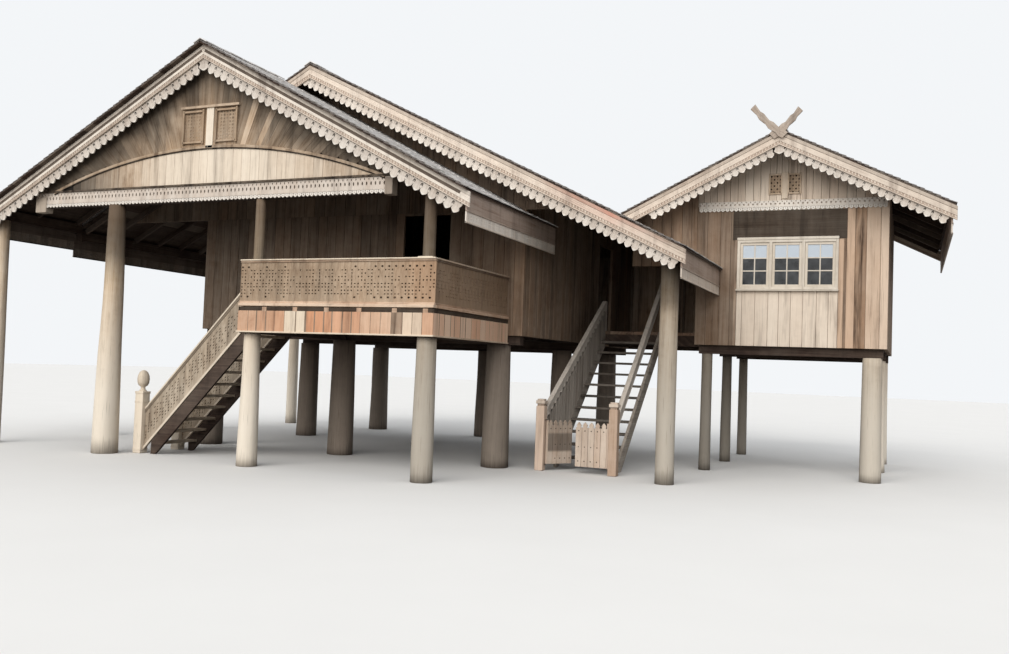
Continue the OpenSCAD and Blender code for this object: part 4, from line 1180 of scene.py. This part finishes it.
def laceRun(pile, start, end, look, units, shear=0.0):
    # carved boards side by side from start to end; shear raises them along a stair
    start, end = Vector(start), Vector(end)
    run = Vector((end.x - start.x, end.y - start.y, 0))
    n = max(1, round(run.length / rail["unit"]))
    u = run.normalized()
    v = Vector((-u.y, u.x, 0))
    step = run.length / n
    fit = Matrix.Scale(step / rail["unit"], 4, (1, 0, 0))
    for i in range(n):
        turn = Matrix((u, v, Vector((0, 0, 1)))).transposed().to_4x4() @ fit
        turn.translation = start + u * (i * step) + Vector((0, 0, shear * i * step))
        if shear:
            lean = Matrix.Identity(4)
            lean[2][0] = shear
            turn = turn @ lean
        own, unit = look(i, turn.translation)
        pile.unit(units[unit], turn, own)


def railLook(i, p):
    # greyer at the left, cream in the middle, orange-brown at the right; three boards have a tall slot
    warm = max(0.0, min(1.0, (p.x - 0.40) / 0.5))
    grey = max(0.0, min(1.0, (-0.35 - p.x) / 0.5))
    base = (-0.05 - 0.12 * grey - 0.04 * warm, 0.10 + 0.4 * warm, 0.15 + 0.1 * grey)
    slot = any(abs(p.x + 0.07 - x) < rail["unit"] / 2 for x in rail["slots"])
    kind = kinds - 1 if slot else int(chance(i, 7.7) * (kinds - 1.01))
    faint = p.x < 0.05 and chance(i, 3.3) > 0.25
    return tint(i, 0.06, 0.08, 0.12, base), kind + (kinds if faint else 0)


def sideRailLook(i, p):
    # darker than the front rails, as painted shade of the roof on the sides
    return tint(i, 0.04, 0.1, 0.1, (-0.40, 0.35, 0.05)), kinds + int(chance(i, 8.8) * (kinds - 0.01))


laces, bars = Pile(), Pile()
inRail = rail["wide"] / 2
sides = [("x", vx0, vx1, vy0 + inRail), ("y", vy0 + 0.0905, vy1, vx1 - inRail),
         ("y", vy0 + 0.0905, rail["gap"][0], vx0 + inRail), ("y", rail["gap"][1], vy1, vx0 + inRail)]
# the level members of a rail: height of the middle, width, thickness and look
railBars = [(3.174, rail["wide"], 0.02, (0.55, 0.0, 0.0)), (3.150, 0.055, 0.032, (-0.3, 0.1, 0.2)),
            (house["floor"] + 0.030, rail["wide"] + 0.012, 0.045, (0.32, 0.15, 0.0)),
            (2.524, 0.050, 0.04, (0.12, 0.15, 0.1))]
for along, s0, s1, across in sides:
    if along == "x":
        y = across - rail["thick"] / 2
        laceRun(laces, (s0, y, rail["low"]), (s1, y, rail["low"]), railLook, railUnits)
        for z, wide, thick, own in railBars:
            bars.shelf(s0, s1, across, z, wide, thick, own)
    else:
        x = across + rail["thick"] / 2
        laceRun(laces, (x, s0, rail["low"]), (x, s1, rail["low"]), sideRailLook, railUnits)
        for z, wide, thick, own in railBars:
            # the side bars are darker too, painted shade
            bars.sideShelf(across, s0, s1, z, wide, thick, (own[0] - 0.35, own[1], own[2]))
bars.shelf(0.86, 1.10, vy0 + 0.045, 3.189, 0.08, 0.018, (0.7, 0.0, 0.0))
asPiece("verandaRailPanels", laces.join(), "railWood", ["veranda_rails"])
pieceFrom("verandaRailBars", bars, "verandaPlanks", ["veranda_rails"], bevel=0.004)


def floorField(pile, x0, x1, y0, y1, along="x", board=0.16, thick=0.06, seed=0.0):
    # floor boards that run along X or Y
    span = (y0, y1) if along == "x" else (x0, x1)
    n = max(1, round((span[1] - span[0]) / board))
    step = (span[1] - span[0]) / n
    z = house["floor"] - thick / 2
    for i in range(n):
        s = span[0] + (i + 0.5) * step
        own = tint(i + seed, 0.18, 0.3, 0.3)
        deep = thick - chance(i, seed, 2) * 0.002
        if along == "x":
            pile.shelf(x0, x1, s, z, step - 0.004, deep, own)
        else:
            pile.sideShelf(s, y0, y1, z, step - 0.004, deep, own)


pile = Pile()
floorField(pile, vx0 + 0.025, vx1 - 0.025, vy0 + 0.025, vy1, seed=1)
pieceFrom("verandaFloor", pile, "floorBoards", ["veranda_floor"], bevel=0.003)
pile = Pile()
floorField(pile, mx0 + house["wall"], mx1 - house["wall"], *mainDepth, seed=2)
floorField(pile, rx0 + house["wall"], rx1 - house["wall"], *rightDepth, seed=3)
pieceFrom("roomFloors", pile, "floorBoards", ["room_floors"], bevel=0.003)
pile = Pile()
floorField(pile, mx1, rx0, 1.205, mainDepth[1], "y", seed=4)
pieceFrom("hallFloor", pile, "floorBoards", ["hall_floor"], bevel=0.003)
print("veranda and floors done")

# Left gable: an arched field of pale upright boards, a sunburst above it, two lattice lights
# arch: X of its centre, its radius and the height of its centre; fan: X and height of the rays' foot
leftGable = {"y": -4.755, "low": 4.40, "half": 3.56, "arch": (-3.10, 9.1, -4.08), "boards": 42,
             "thick": 0.026, "fan": (-3.1, 3.0), "rays": 64,
             "lights": [(-3.60, -3.20), (-2.94, -2.54)], "lightZ": (5.10, 5.60)}
gableY, gableLow, gableHalf = leftGable["y"], leftGable["low"], leftGable["half"]
archX, archRadius, archCentre = leftGable["arch"]


def archZ(x):
    return archCentre + math.sqrt(max(0.1, archRadius ** 2 - (x - archX) ** 2))


def paleness(x):
    # palest in the middle, dimmer to the right and darkest to the left, which is painted shade of the
    # bargeboards over both ends
    side = x + 3.0
    if side < 0:
        return 0.48 - 1.6 * max(0.0, -side - 0.9) / 2.4
    return 0.48 - 0.62 * max(0.0, side - 1.0) / 2.2


pile = Pile()
boards, rays = leftGable["boards"], leftGable["rays"]
marks = [archX - gableHalf + i * 2 * gableHalf / boards for i in range(boards + 1)]
for i, (a, b) in enumerate(zip(marks, marks[1:])):
    mid = (a + b) / 2
    top = archZ(mid)
    if top > gableLow + 0.02:
        own = tint(i, 0.04, 0.06, 0.10, (paleness(mid), 0, 0))
        wallBoard(pile, "x", a, b, gableY, leftGable["thick"], gableLow, top, own, 0.003)
pieceFrom("leftGableArch", pile, "gableBoards", ["left_gable_panel"], underRoof("left"), bevel=0.002)


def fanLook(i):
    # brown boards of the sunburst, two of them pale; darker up and outwards, which is painted shadow of the
    # roof's overhang
    base = tint(i, 0.07, 0.25, 0.2, (0.0, 0.42, 0.05))
    pale = {39: 0.55, 42: 0.45}.get(i, 0.10 if i % 7 == 2 else 0.0)

    def look(p):
        # painted shadow: darker close under the roof and towards the sides
        deep = roofTop("left", p.x) - p.z
        outwards = max(0.0, abs(p.x + 3.0) - 0.8) * (0.12 if p.x < -3.0 else 0.05)
        overhangShadow = min(0.62 * max(0.0, 1 - (deep - 0.45) / 1.0) + outwards, 0.65)
        tone = base[0] + pale - 0.22 - overhangShadow + 0.34 * noise.noise(p * 5)
        return (max(-0.80, tone), base[1] * (1 - 1.4 * overhangShadow), base[2])
    return look


pile = Pile()
fanX, fanZ = leftGable["fan"]
fanFoot = Vector((fanX, gableY, fanZ))
for i in range(rays):
    angle = math.radians(-80 + 160 * (i + 0.5) / rays)
    ray = Vector((math.sin(angle), 0, math.cos(angle)))
    # where the ray leaves the arch
    near = 0.5
    while near < 6 and abs(ray.x * near) < 3.6:
        if fanZ + ray.z * near >= max(archZ(fanX + ray.x * near), gableLow):
            break
        near += 0.02
    far = near + 3.2
    proud = Vector((0, -0.004 if i % 2 else 0.0, 0))
    wide = far * math.radians(160 / rays)
    pile.board(fanFoot + ray * near + proud, fanFoot + ray * far + proud, (1, 0, 0), wide * 1.02,
               leftGable["thick"] * 0.8, fanLook(i), taper=near / far, cuts=12)
sidePlanes = [(Vector((fanX - gableHalf, 0, 0)), Vector((-1, 0, 0))),
              (Vector((fanX + gableHalf, 0, 0)), Vector((1, 0, 0)))]
pieceFrom("leftGableFan", pile, "gableBoards", ["left_gable_panel"],
          underRoof("left") + [level(gableLow, -1)] + sidePlanes, bevel=0.0)
# mouldings: along the arch, and along the top of the tie board
moulding = {"half": 3.3, "steps": 26, "tieX": (-6.83, 0.32)}
pile = Pile()
for i in range(moulding["steps"]):
    x0 = archX - moulding["half"] + 2 * moulding["half"] * i / moulding["steps"]
    x1 = archX - moulding["half"] + 2 * moulding["half"] * (i + 1) / moulding["steps"]
    a, b = (Vector((x, gableY - 0.02, archZ(x))) for x in (x0, x1))
    under = Vector((0, 0, -0.032))
    if min(a.z, b.z) > gableLow - 0.05:
        pile.board(a, b, (0, 0, 1), 0.045, 0.03, (-0.15, 0.2, 0.3))
        pile.board(a + under, b + under, (0, 0, 1), 0.018, 0.022, (-0.85, 0, 0.8))
pile.rail(*moulding["tieX"], gableY - 0.02, 4.415, 0.032, 0.035, (-0.75, 0.1, 0.7))
pieceFrom("leftGableMouldings", pile, "gableBoards", ["left_gable_panel"], bevel=0.003)


def latticeOf(columns, rows, wide, high, thick, large, small):
    # a lattice of round holes, large and small by turns
    return carvedPanel(columns, rows, wide / columns, high / rows, thick,
                       lambda i, j: (large, large) if (i + j) % 2 else (small, small))


def lightFrame(pile, a, b, y, low, high, past, wide, thick, look):
    # the four members around a light
    for x in (a, b):
        pile.stud(x, y, low - past, high + past, wide, thick, look)
    for z in (low, high):
        pile.rail(a, b, y, z, wide, thick, look)


# lattice lights with their frames and the boards around them
pile, lattice = Pile(), Pile()
largeLattice = latticeOf(7, 9, 0.4, 0.5, 0.016, 0.36, 0.24)
smallLattice = latticeOf(4, 6, 0.2, 0.33, 0.012, 0.30, 0.14)
for a, b in leftGable["lights"]:
    place = Matrix.Translation((a, gableY - 0.016, leftGable["lightZ"][0]))
    lattice.unit(largeLattice, place, (-0.30, 0.30, 0.2))
    lightFrame(pile, a, b, gableY - 0.026, *leftGable["lightZ"], 0.03, 0.032, 0.05, (-0.22, 0.30, 0.1))
left, right = leftGable["lights"]
pile.stud((left[1] + right[0]) / 2, gableY - 0.02, 5.0, 5.66, 0.14, 0.03, (0.6, 0.0, 0.0))
pile.rail(left[0] - 0.05, right[1] + 0.05, gableY - 0.03, 5.67, 0.04, 0.06, (0.1, 0.1, 0.1))
for a, b in rightGable["lights"]:
    lattice.unit(smallLattice, Matrix.Translation((a, 0.01, rightGable["lightZ"][0])), (-0.2, 0.25, 0.2))
    lightFrame(pile, a, b, -0.012, *rightGable["lightZ"], 0.02, 0.03, 0.03, (0.05, 0.1, 0.1))
pile.stud(5.275, -0.014, 4.74, 5.2, 0.10, 0.024, (0.25, 0.0, 0.0))
asPiece("gableLattices", lattice.join(), "gableBoards", ["left_gable_panel"])
pieceFrom("gableLightFrames", pile, "gableBoards", ["left_gable_panel"], bevel=0.003)

# Tie beam and the carved boards in front of it: X from and to, Y, height from and to, tone
tie = {"unit": 0.075, "foot": 0.055, "body": 0.15}
# the right board's high tone is painted light against the shade of its bargeboard
tieBoards = [(-6.83, 0.32, -4.768, 4.15, 4.40, 0.28), (3.82, 6.92, -0.03, 4.54, 4.71, 0.85)]
tieHoles = {(0, 1): (0.36, 0.47), (1, 2): (0.24, 0.30)}
tieLace = carvedPanel(2, 3, tie["unit"] / 2, tie["body"] / 3, 0.026, lambda i, j: tieHoles.get((i, j)))
tieDrop = carvedDrop(0.072, 0.062, 0.12, 0.02)
pile = Pile()
for x0, x1, y, z0, z1, tone in tieBoards:
    n = round((x1 - x0) / tie["unit"])
    step = (x1 - x0) / n
    fit = Matrix.Diagonal((step / tie["unit"], 1, (z1 - z0 - tie["foot"]) / tie["body"], 1))
    for i in range(n):
        own = tint(i + x0, 0.08, 0.12, 0.15, (tone, 0.10, 0.0))
        pile.unit(tieLace, Matrix.Translation((x0 + i * step, y, z0 + tie["foot"])) @ fit, own)
        middle = Matrix.Translation((x0 + (i + 0.5) * step, y, z0 + tie["foot"] + 0.005))
        pile.unit(tieDrop, middle, (own[0] + 0.30, 0, 0))
asPiece("carvedTieBoards", pile.join(), "carvedWood", ["carved_tie_boards"])
pile = Pile()
pile.rail(*moulding["tieX"], rowsY[0], 4.275, 0.25, 0.12)
# pale blocks at the beam's ends
pile.stud(-6.71, -4.70, 4.07, 4.34, 0.25, 0.16, (0.75, 0.3, 0.0))
pile.stud(0.265, -4.70, 4.13, 4.38, 0.13, 0.16, (0.5, 0.3, 0.0))
pieceFrom("leftTieBeam", pile, "frameWood", ["left_tie_beam"], bevel=0.006)
print("left gable done")

# Crossed horns over the right gable: curved and tapered
horns = {"lengths": (0.735, 0.625), "y": (-0.735, -0.715), "wide": 0.125, "thick": 0.03, "foot": 0.15,
         "lean": 46, "x": 5.235, "z": 5.76, "taper": 0.25, "swell": 0.20, "bow": 0.03}
lean = math.radians(horns["lean"])
pile = Pile()
for side, length, y in zip((-1, 1), horns["lengths"], horns["y"]):
    pile.shelf(-horns["foot"], length - horns["foot"], 0, 0, horns["wide"], horns["thick"])
    bm = pile.bm
    longEdges = [e for e in bm.edges if abs(e.verts[0].co.x - e.verts[1].co.x) > 0.2]
    bmesh.ops.subdivide_edges(bm, edges=longEdges, cuts=9, use_grid_fill=True)
    own = bm.verts.layers.float_color["look"]
    for v in bm.verts:
        t = (v.co.x + horns["foot"]) / length
        v[own] = (-0.16, 0.15, 0.25, 1)
        v.co.y *= (1.0 - horns["taper"] * t) * (1 + horns["swell"] * math.sin(t * 21))
        v.co.y += horns["bow"] * math.sin(t * math.pi)
        # stand the horn up, leaning out to its side
        along, bend, depth = v.co
        v.co = Vector((horns["x"] + side * (along * math.sin(lean) + bend * math.cos(lean)), y + depth,
                       horns["z"] + along * math.cos(lean) - bend * math.sin(lean)))
    pile.flush()
pieceFrom("crossedFinial", pile, "carvedWood", ["crossed_finial"])

# Windows: frame with sill and casing, three sashes each with two by three panes
windows = [(window["frontX"], 0.0, -1)] + [(x, house["mainY"][1], 1) for x in reversed(window["backX"])]
frames, sashes, panes = Pile(), Pile(), Pile()
jamb, sash, bar = window["frame"], window["sash"], window["bar"]
sashWide = (window["wide"] - 4 * jamb) / 3
plain, sashLook, barLook = (0.05, 0.0, 0.1), (0.1, 0.1, 0.05), (0.2, 0, 0)
for x0, face, side in windows:
    x1 = x0 + window["wide"]
    mid = face - side * 0.03 + side * 0.006
    for i in range(4):
        x = x0 + jamb / 2 + i * (sashWide + jamb)
        frames.stud(x, mid, window["low"], window["high"], jamb, 0.072, plain)
    for z in (window["low"] + jamb / 2, window["high"] - jamb / 2):
        frames.rail(x0, x1, mid, z, jamb, 0.070, plain)
    frames.shelf(x0 - 0.01, x1 + 0.01, face + side * 0.02, window["low"] - 0.005, 0.09, 0.035,
                 (-0.1, 0.0, 0.05))
    frames.rail(x0 - 0.005, x1 + 0.005, face + side * 0.010, window["high"] + 0.018, 0.045, 0.026, plain)
    low, high = window["low"] + jamb, window["high"] - jamb
    y = face - side * 0.0275
    for i in range(3):
        a = x0 + jamb + i * (sashWide + jamb)
        b = a + sashWide
        for x in (a + sash / 2, b - sash / 2):
            sashes.stud(x, y, low, high, sash, 0.034, sashLook)
        for z in (low + sash / 2, high - sash / 2):
            sashes.rail(a + sash, b - sash, y, z, sash, 0.033, sashLook)
        sashes.stud((a + b) / 2, y, low + sash, high - sash, bar, 0.026, barLook)
        for z in window["barsZ"]:
            sashes.rail(a + sash, b - sash, y, z, bar, 0.024, barLook)
        panes.rail(a + sash, b - sash, y, (low + high) / 2, high - low - 2 * sash, 0.005)
pieceFrom("windowFrames", frames, "windowPaint", ["window_frames"])
pieceFrom("windowSashes", sashes, "windowPaint", ["window_sashes"], bevel=0.003)
asPiece("windowGlass", panes.join(), "windowGlass", ["window_glass"])
print("windows done")

# Left stair
stair = {"x0": -4.396, "going": 0.196, "rise": 0.205, "steps": 12, "y": (-4.3, -3.4),
         "tread": (-4.25, -3.4), "nose": 0.012, "thick": 0.04, "panel": 0.60, "lead": 0.172, "top": 0.625}
pile = Pile()
for i in range(1, stair["steps"]):
    x = stair["x0"] + (i - 1) * stair["going"] + stair["going"] / 2 - stair["nose"] / 2
    z = i * stair["rise"] - stair["thick"] / 2
    pile.sideShelf(x, *stair["tread"], z, stair["going"] + stair["nose"], stair["thick"],
                   tint(i, 0.12, 0.2, 0.3, (-0.25, 0.1, 0.1)))
pieceFrom("leftTreads", pile, "stairWood", ["left_flight_treads"], bevel=0.008)


def stairLook(i, p):
    return tint(i, 0.12, 0.1, 0.4, (-0.12, 0.0, 0.2)), int(chance(i, 4.4) * (kinds - 0.01))


k = stair["rise"] / stair["going"]
panelUnits = [railUnit(kind, stair["panel"], True) for kind in range(kinds)]
laces, bars = Pile(), Pile()
# the panels start a little before the first step
x0 = stair["x0"] - stair["lead"]
x1 = stair["x0"] + stair["going"] * (stair["steps"] - 1)
low = stair["rise"] + 0.075 - stair["lead"] * k
rise = (x1 - x0) * k
# sloping members: height over the panels' foot, depth from and to, height and look
stairBars = [(stair["top"] + 0.045, 0.0, 0.05, 0.04, (0.45, 0.0, 0.0)),
             # the dark member under the cap is painted shadow
             (stair["top"] + 0.006, 0.008, 0.042, 0.06, (-0.6, 0.2, 0.2)),
             (0.01, -0.004, 0.050, 0.055, (0.40, 0.0, 0.0))]
for y in stair["y"]:
    laceRun(laces, (x0, y + 0.015, low), (x1, y + 0.015, low), stairLook, panelUnits, shear=k)
    for over, y0, y1, high, own in stairBars:
        bars.strip(x0, low + over, x1, low + over + rise, y + y0, y + y1, high, own)
asPiece("leftStairPanels", laces.join(), "stairWood", ["left_flight_rails"])
pieceFrom("leftStairRails", bars, "stairWood", ["left_flight_rails"])
# strings, beams and pivots keep the CAD outline, with their own finish; the dark wood of the left string,
# beams and joists is partly painted shade
paints["stringWood"] = makeTimber("stringWood", "x", "frameWood")
paints["greyString"] = makeTimber("greyString", "y", "greyStair")
for node, paint in (("left_flight_strings", "stringWood"), ("centre_flight_strings", "greyString"),
                    ("floor_beams", "shadeX"), ("floor_joists", "shadeY"), ("roof_beams", "shadeY"),
                    ("gate_pivots", "darkIron")):
    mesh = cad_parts[node].data
    mesh.materials.clear()
    mesh.materials.append(paints[paint])

# Newels of the left stair: a square shaft, collars and a turned bud; collars give height and growth
newel = {"wide": 0.175, "high": 1.03, "x": -4.6555, "y": (-4.275, -3.375),
         "collars": [(0.06, 0.0), (0.86, 0.0), (1.018, 0.006)],
         "bud": [(0.0, 0.0), (0.058, 0.0), (0.062, 0.022), (0.038, 0.042), (0.038, 0.082), (0.072, 0.105),
                 (0.094, 0.15), (0.1, 0.21), (0.095, 0.27), (0.068, 0.33), (0.034, 0.358), (0.0, 0.366)]}
pile = Pile()
for y in newel["y"]:
    shaft = newel["wide"] - 0.008
    pile.stud(newel["x"], y, 0, newel["high"] - 0.02, shaft, shaft, (0.75, 0.05, 0.0))
    for z, grow in newel["collars"]:
        wide = newel["wide"] + grow
        pile.stud(newel["x"], y, z - 0.02, z + 0.02, wide, wide, (0.65, 0.05, 0.0))
pieceFrom("leftNewels", pile, "stairWood", ["left_newels"], bevel=0.006)


def turned(profile, place, look, steps=20):
    # a lathe-turned piece on an upright axis
    bm = bmesh.new()
    bm.loops.layers.uv.new("grain")
    own = bm.verts.layers.float_color.new("look")
    line = [bm.verts.new((r, 0, z)) for r, z in profile]
    edges = [bm.edges.new(pair) for pair in zip(line, line[1:])]
    bmesh.ops.spin(bm, geom=line + edges, cent=(0, 0, 0), axis=(0, 0, 1), angle=2 * math.pi, steps=steps,
                   use_merge=True)
    bmesh.ops.remove_doubles(bm, verts=bm.verts[:], dist=1e-5)
    bmesh.ops.recalc_face_normals(bm, faces=bm.faces[:])
    grain = bm.loops.layers.uv["grain"]
    for face in bm.faces:
        for loop in face.loops:
            loop[grain].uv = (loop.vert.co.z, loop.vert.co.x + loop.vert.co.y)
    for v in bm.verts:
        v[own] = (*look, 1)
    bmesh.ops.translate(bm, vec=place, verts=bm.verts[:])
    return bm


buds = Pile().fresh()
for y in newel["y"]:
    bud = asMesh("bud", turned(newel["bud"], (newel["x"], y, newel["high"]), (0.30, 0.0, 0.0)))
    buds.from_mesh(bud)
    bpy.data.meshes.remove(bud)
piece = asPiece("leftNewelBuds", buds, "stairWood", ["left_newels"])
piece.data.shade_smooth()

# Centre stair: treads with risers
centre = {"x": (1.785, 2.845), "y0": -1.38, "going": 0.235, "rise": 0.205, "steps": 12,
          "nose": 0.012, "thick": 0.04}
pile = Pile()
for i in range(1, centre["steps"]):
    y = centre["y0"] + (i - 0.5) * centre["going"]
    z = i * centre["rise"] - centre["thick"] / 2
    pile.shelf(*centre["x"], y - centre["nose"] / 2, z, centre["going"] + centre["nose"], centre["thick"],
               tint(i, 0.08, 0.1, 0.3, (-0.60, 0.1, 0.1)))
    pile.rail(*centre["x"], y - centre["going"] / 2 - 0.004, z, 0.036, 0.014,
              tint(i, 0.1, 0.1, 0.3, (-0.30, 0, 0.1)))
pieceFrom("centreTreads", pile, "greyStair", ["centre_flight_treads"], bevel=0.008)
# the two side rails: X, paleness, then Y and height at the foot and at the head
stairRails = [(centre["x"][0] - 0.04, 0.95, (-1.895, 1.035), (1.205, 3.05)),
              (centre["x"][1] + 0.08, 0.55, (-1.895, 0.813), (1.205, 3.50))]
# layers of a rail: a cap, a recessed middle and a foot moulding, each with its height, size and tone
railLayers = [(0.0, 0.045, 0.08, 0.0), (-0.044, 0.115, 0.068, -0.12), (-0.158, 0.042, 0.076, 0.0)]
pile = Pile()
for x, pale, foot, head in stairRails:
    for z, high, wide, tone in railLayers:
        made = pile.strip(foot[0], foot[1] + z, head[0], head[1] + z, -wide / 2, wide / 2, high,
                          (pale + tone, 0.05, 0.1), cuts=10)
        for v in made:
            v.co = Vector((x + v.co.y, v.co.x, v.co.z))
    pile.stud(x, head[0] + 0.04, house["floor"], head[1], 0.076, 0.08, (pale, 0, 0.1))
# boards under the left rail, from the string up
foot, head = stairRails[0][2:]
slope = (head[1] - foot[1]) / (head[0] - foot[0])
infill = {"count": 22, "lowest": 0.21, "x": centre["x"][0] - 0.0125}
stepY = (head[0] - foot[0]) / infill["count"]
for i in range(infill["count"]):
    y = foot[0] + (i + 0.5) * stepY
    string = centre["rise"] + (y - stepY / 2 - centre["y0"]) / centre["going"] * centre["rise"] + 0.02
    low = max(infill["lowest"], string)
    high = foot[1] + slope * (y - foot[0]) - 0.16
    if high > low:
        pile.board((infill["x"], y, low), (infill["x"], y, high), (0, 1, 0), stepY - 0.003, 0.021,
                   tint(i, 0.10, 0.25, 0.35, (0.35, 0.05, 0.15)))
pieceFrom("centreStairRails", pile, "greyStair", ["centre_flight_rails"], bevel=0.005)

# Gate: posts with square caps, and two leaves of pickets
gate = {"posts": [(1.71, 0.40), (2.96, -0.22)], "y": -1.97, "low": 0.11, "high": 0.83, "thick": 0.03,
        "pickets": 5, "stile": 0.03, "head": 0.05, "neck": 0.09,
        "caps": [(1.05, 1.10, 0.115, (-0.25, 0.1, 0.2)), (1.095, 1.15, 0.155, (0.30, 0.0, 0.0)),
                 (1.15, 1.175, 0.12, (0.25, 0.0, 0.0))]}
pile = Pile()
for x, tone in gate["posts"]:
    pile.stud(x, gate["y"], 0, 1.06, 0.142, 0.142, (tone, 0.28, 0.0))
    for z0, z1, wide, own in gate["caps"]:
        pile.stud(x, gate["y"], z0, z1, wide, wide, own)
pieceFrom("gatePosts", pile, "gateWood", ["gate_posts"], bevel=0.008)


def picketLook(base, shade):
    # painted shade on the open leaf: dim all over, darkest in the middle
    def look(p):
        middle = 0.33 < p.z < 0.62
        dark = shade * (0.75 if middle else (0.15 if p.z < 0.33 else 0.4))
        return (base[0] + 0.12 - dark, base[1], base[2])
    return look


def gateLeaf(name, node, body, hinge, reach, side, turn, shade):
    # pickets on two rails; side is the way the leaf's reach goes from its hinge, turn its opening at rest
    pile = Pile()
    t, n, stile, low, high = (gate[key] for key in ("thick", "pickets", "stile", "low", "high"))
    wide = (reach - stile) / n
    y = -t / 2 - 0.004
    pile.stud(stile / 2, -t / 2, low, high, stile, t, (0.05, 0.1, 0.1))
    for i in range(n):
        x = stile + (i + 0.5) * wide
        own = picketLook(tint(i + side, 0.06, 0.2, 0.2), shade)
        pile.stud(x, y, low, high - 0.085, wide - 0.006, t - 0.010, own, cuts=16)
        # a waisted neck under a pointed head
        pile.stud(x, y, high - gate["neck"], high - gate["head"], wide * 0.80, t - 0.010, own, taper=0.6)
        pile.stud(x, y, high, high - gate["head"], wide * 0.80, t - 0.010, own, taper=0.12)
        # dark squares, painted shade of small holes in the pickets
        for z, size in ((low + 0.09, 0.018), (high - 0.14, 0.018), (low + 0.32, 0.016)):
            if 0 < i < n or z > 0.5:
                pile.rail(x - size / 2, x + size / 2, -t + 0.0005, z, size, 0.004, (-0.92, 0, 1.0))
    for z in (low + 0.14, high - 0.17):
        pile.rail(0.004, reach - 0.004, -0.008, z, 0.05, 0.014, (-0.1, 0.1, 0.1))
    bm = pile.join()
    place = Matrix.Translation((hinge, gate["y"] + t / 2, 0))
    if side > 0:
        place = place @ Matrix.Rotation(math.radians(turn), 4, "Z")
    else:
        place = place @ Matrix.Scale(-1, 4, (1, 0, 0))
    bmesh.ops.transform(bm, matrix=place, verts=bm.verts[:])
    asPiece(name, bm, "gateWood", [node], body, bevel=0.003)


gateLeaf("gateLeafLeft", "gate_leaf_left", "left_leaf", 1.793, 0.518, 1, 55, 1.0)
gateLeaf("gateLeafRight", "gate_leaf_right", "right_leaf", 2.877, 0.558, -1, 0, 0.0)
print("stairs and gate done")

# Floor, light and camera
bm = bmesh.new()
bmesh.ops.create_grid(bm, x_segments=1, y_segments=1, size=90)
bmesh.ops.translate(bm, vec=(0, 0, -0.002), verts=bm.verts[:])
ground = asMesh("ground", bm)
floor = bpy.data.objects.new("floor", ground)
bpy.context.scene.collection.objects.link(floor)
s = Shader("paleFloor")
patchy = s.mix(s.noise(s.place(), 0.6, 3), (0.70, 0.69, 0.67), (0.74, 0.73, 0.71))
pale = s.node("ShaderNodeBsdfPrincipled", {}, {"Roughness": 0.9, "Base Color": patchy})
# other rays meet a darker ground, so that the spaces under the floors stay dim
dim = s.node("ShaderNodeBsdfPrincipled", {}, {"Roughness": 0.9, "Base Color": (0.20, 0.19, 0.18, 1)})
seen = s.node("ShaderNodeLightPath")
both = s.node("ShaderNodeMixShader", {}, {0: seen, 1: dim, 2: pale})
s.node("ShaderNodeOutputMaterial", {}, {0: both})
ground.materials.append(s.owner)

# the world: soft light, and a pale sky where the camera looks past the house
w = Shader("studio", world=True)
soft = w.node("ShaderNodeBackground", {}, {"Color": (0.93, 0.96, 1.0, 1), "Strength": 0.48})
sky = w.node("ShaderNodeBackground", {}, {"Color": (0.90, 0.92, 0.94, 1), "Strength": 1.0})
seen = w.node("ShaderNodeLightPath")
both = w.node("ShaderNodeMixShader", {}, {0: seen, 1: soft, 2: sky})
w.node("ShaderNodeOutputWorld", {}, {0: both})
bpy.context.scene.world = w.owner

lamps = {"key": {"energy": 2.8, "angle": 60, "towards": (-0.02, 0.88, -0.44), "colour": (1.0, 0.97, 0.93)},
         "sky": {"energy": 1.1, "angle": 120, "towards": (0.0, 0.15, -1.0), "colour": (0.96, 0.98, 1.0)},
         "back": {"energy": 0.3, "angle": 60, "towards": (-0.5, -0.7, -0.6), "colour": (0.93, 0.96, 1.0)}}
for name, lamp in lamps.items():
    light = bpy.data.lights.new(name, "SUN")
    light.energy = lamp["energy"]
    light.angle = math.radians(lamp["angle"])
    light.color = lamp["colour"]
    sun = bpy.data.objects.new(name, light)
    sun.rotation_euler = Vector(lamp["towards"]).to_track_quat("-Z", "Y").to_euler()
    bpy.context.scene.collection.objects.link(sun)

view = {"place": (7.296, -16.660, 1.664), "yaw": 23.253, "pitch": 2.469, "roll": 2.160, "lens": 33.749}
yaw, pitch, roll = (math.radians(view[key]) for key in ("yaw", "pitch", "roll"))
ahead = Vector((-math.sin(yaw) * math.cos(pitch), math.cos(yaw) * math.cos(pitch), math.sin(pitch)))
right = Vector((math.cos(yaw), math.sin(yaw), 0))
up = right.cross(ahead)
turnedRight = math.cos(roll) * right + math.sin(roll) * up
turnedUp = -math.sin(roll) * right + math.cos(roll) * up
lens = bpy.data.cameras.new("camera")
lens.lens = view["lens"]
lens.sensor_width = 36
lens.sensor_fit = "HORIZONTAL"
lens.clip_end = 300
camera = bpy.data.objects.new("camera", lens)
place = Matrix((turnedRight, turnedUp, -ahead)).transposed().to_4x4()
place.translation = Vector(view["place"])
camera.matrix_world = place
bpy.context.scene.collection.objects.link(camera)
bpy.context.scene.camera = camera
bpy.context.scene.view_settings.view_transform = "Standard"

bpy.context.view_layer.update()
print("scene done")
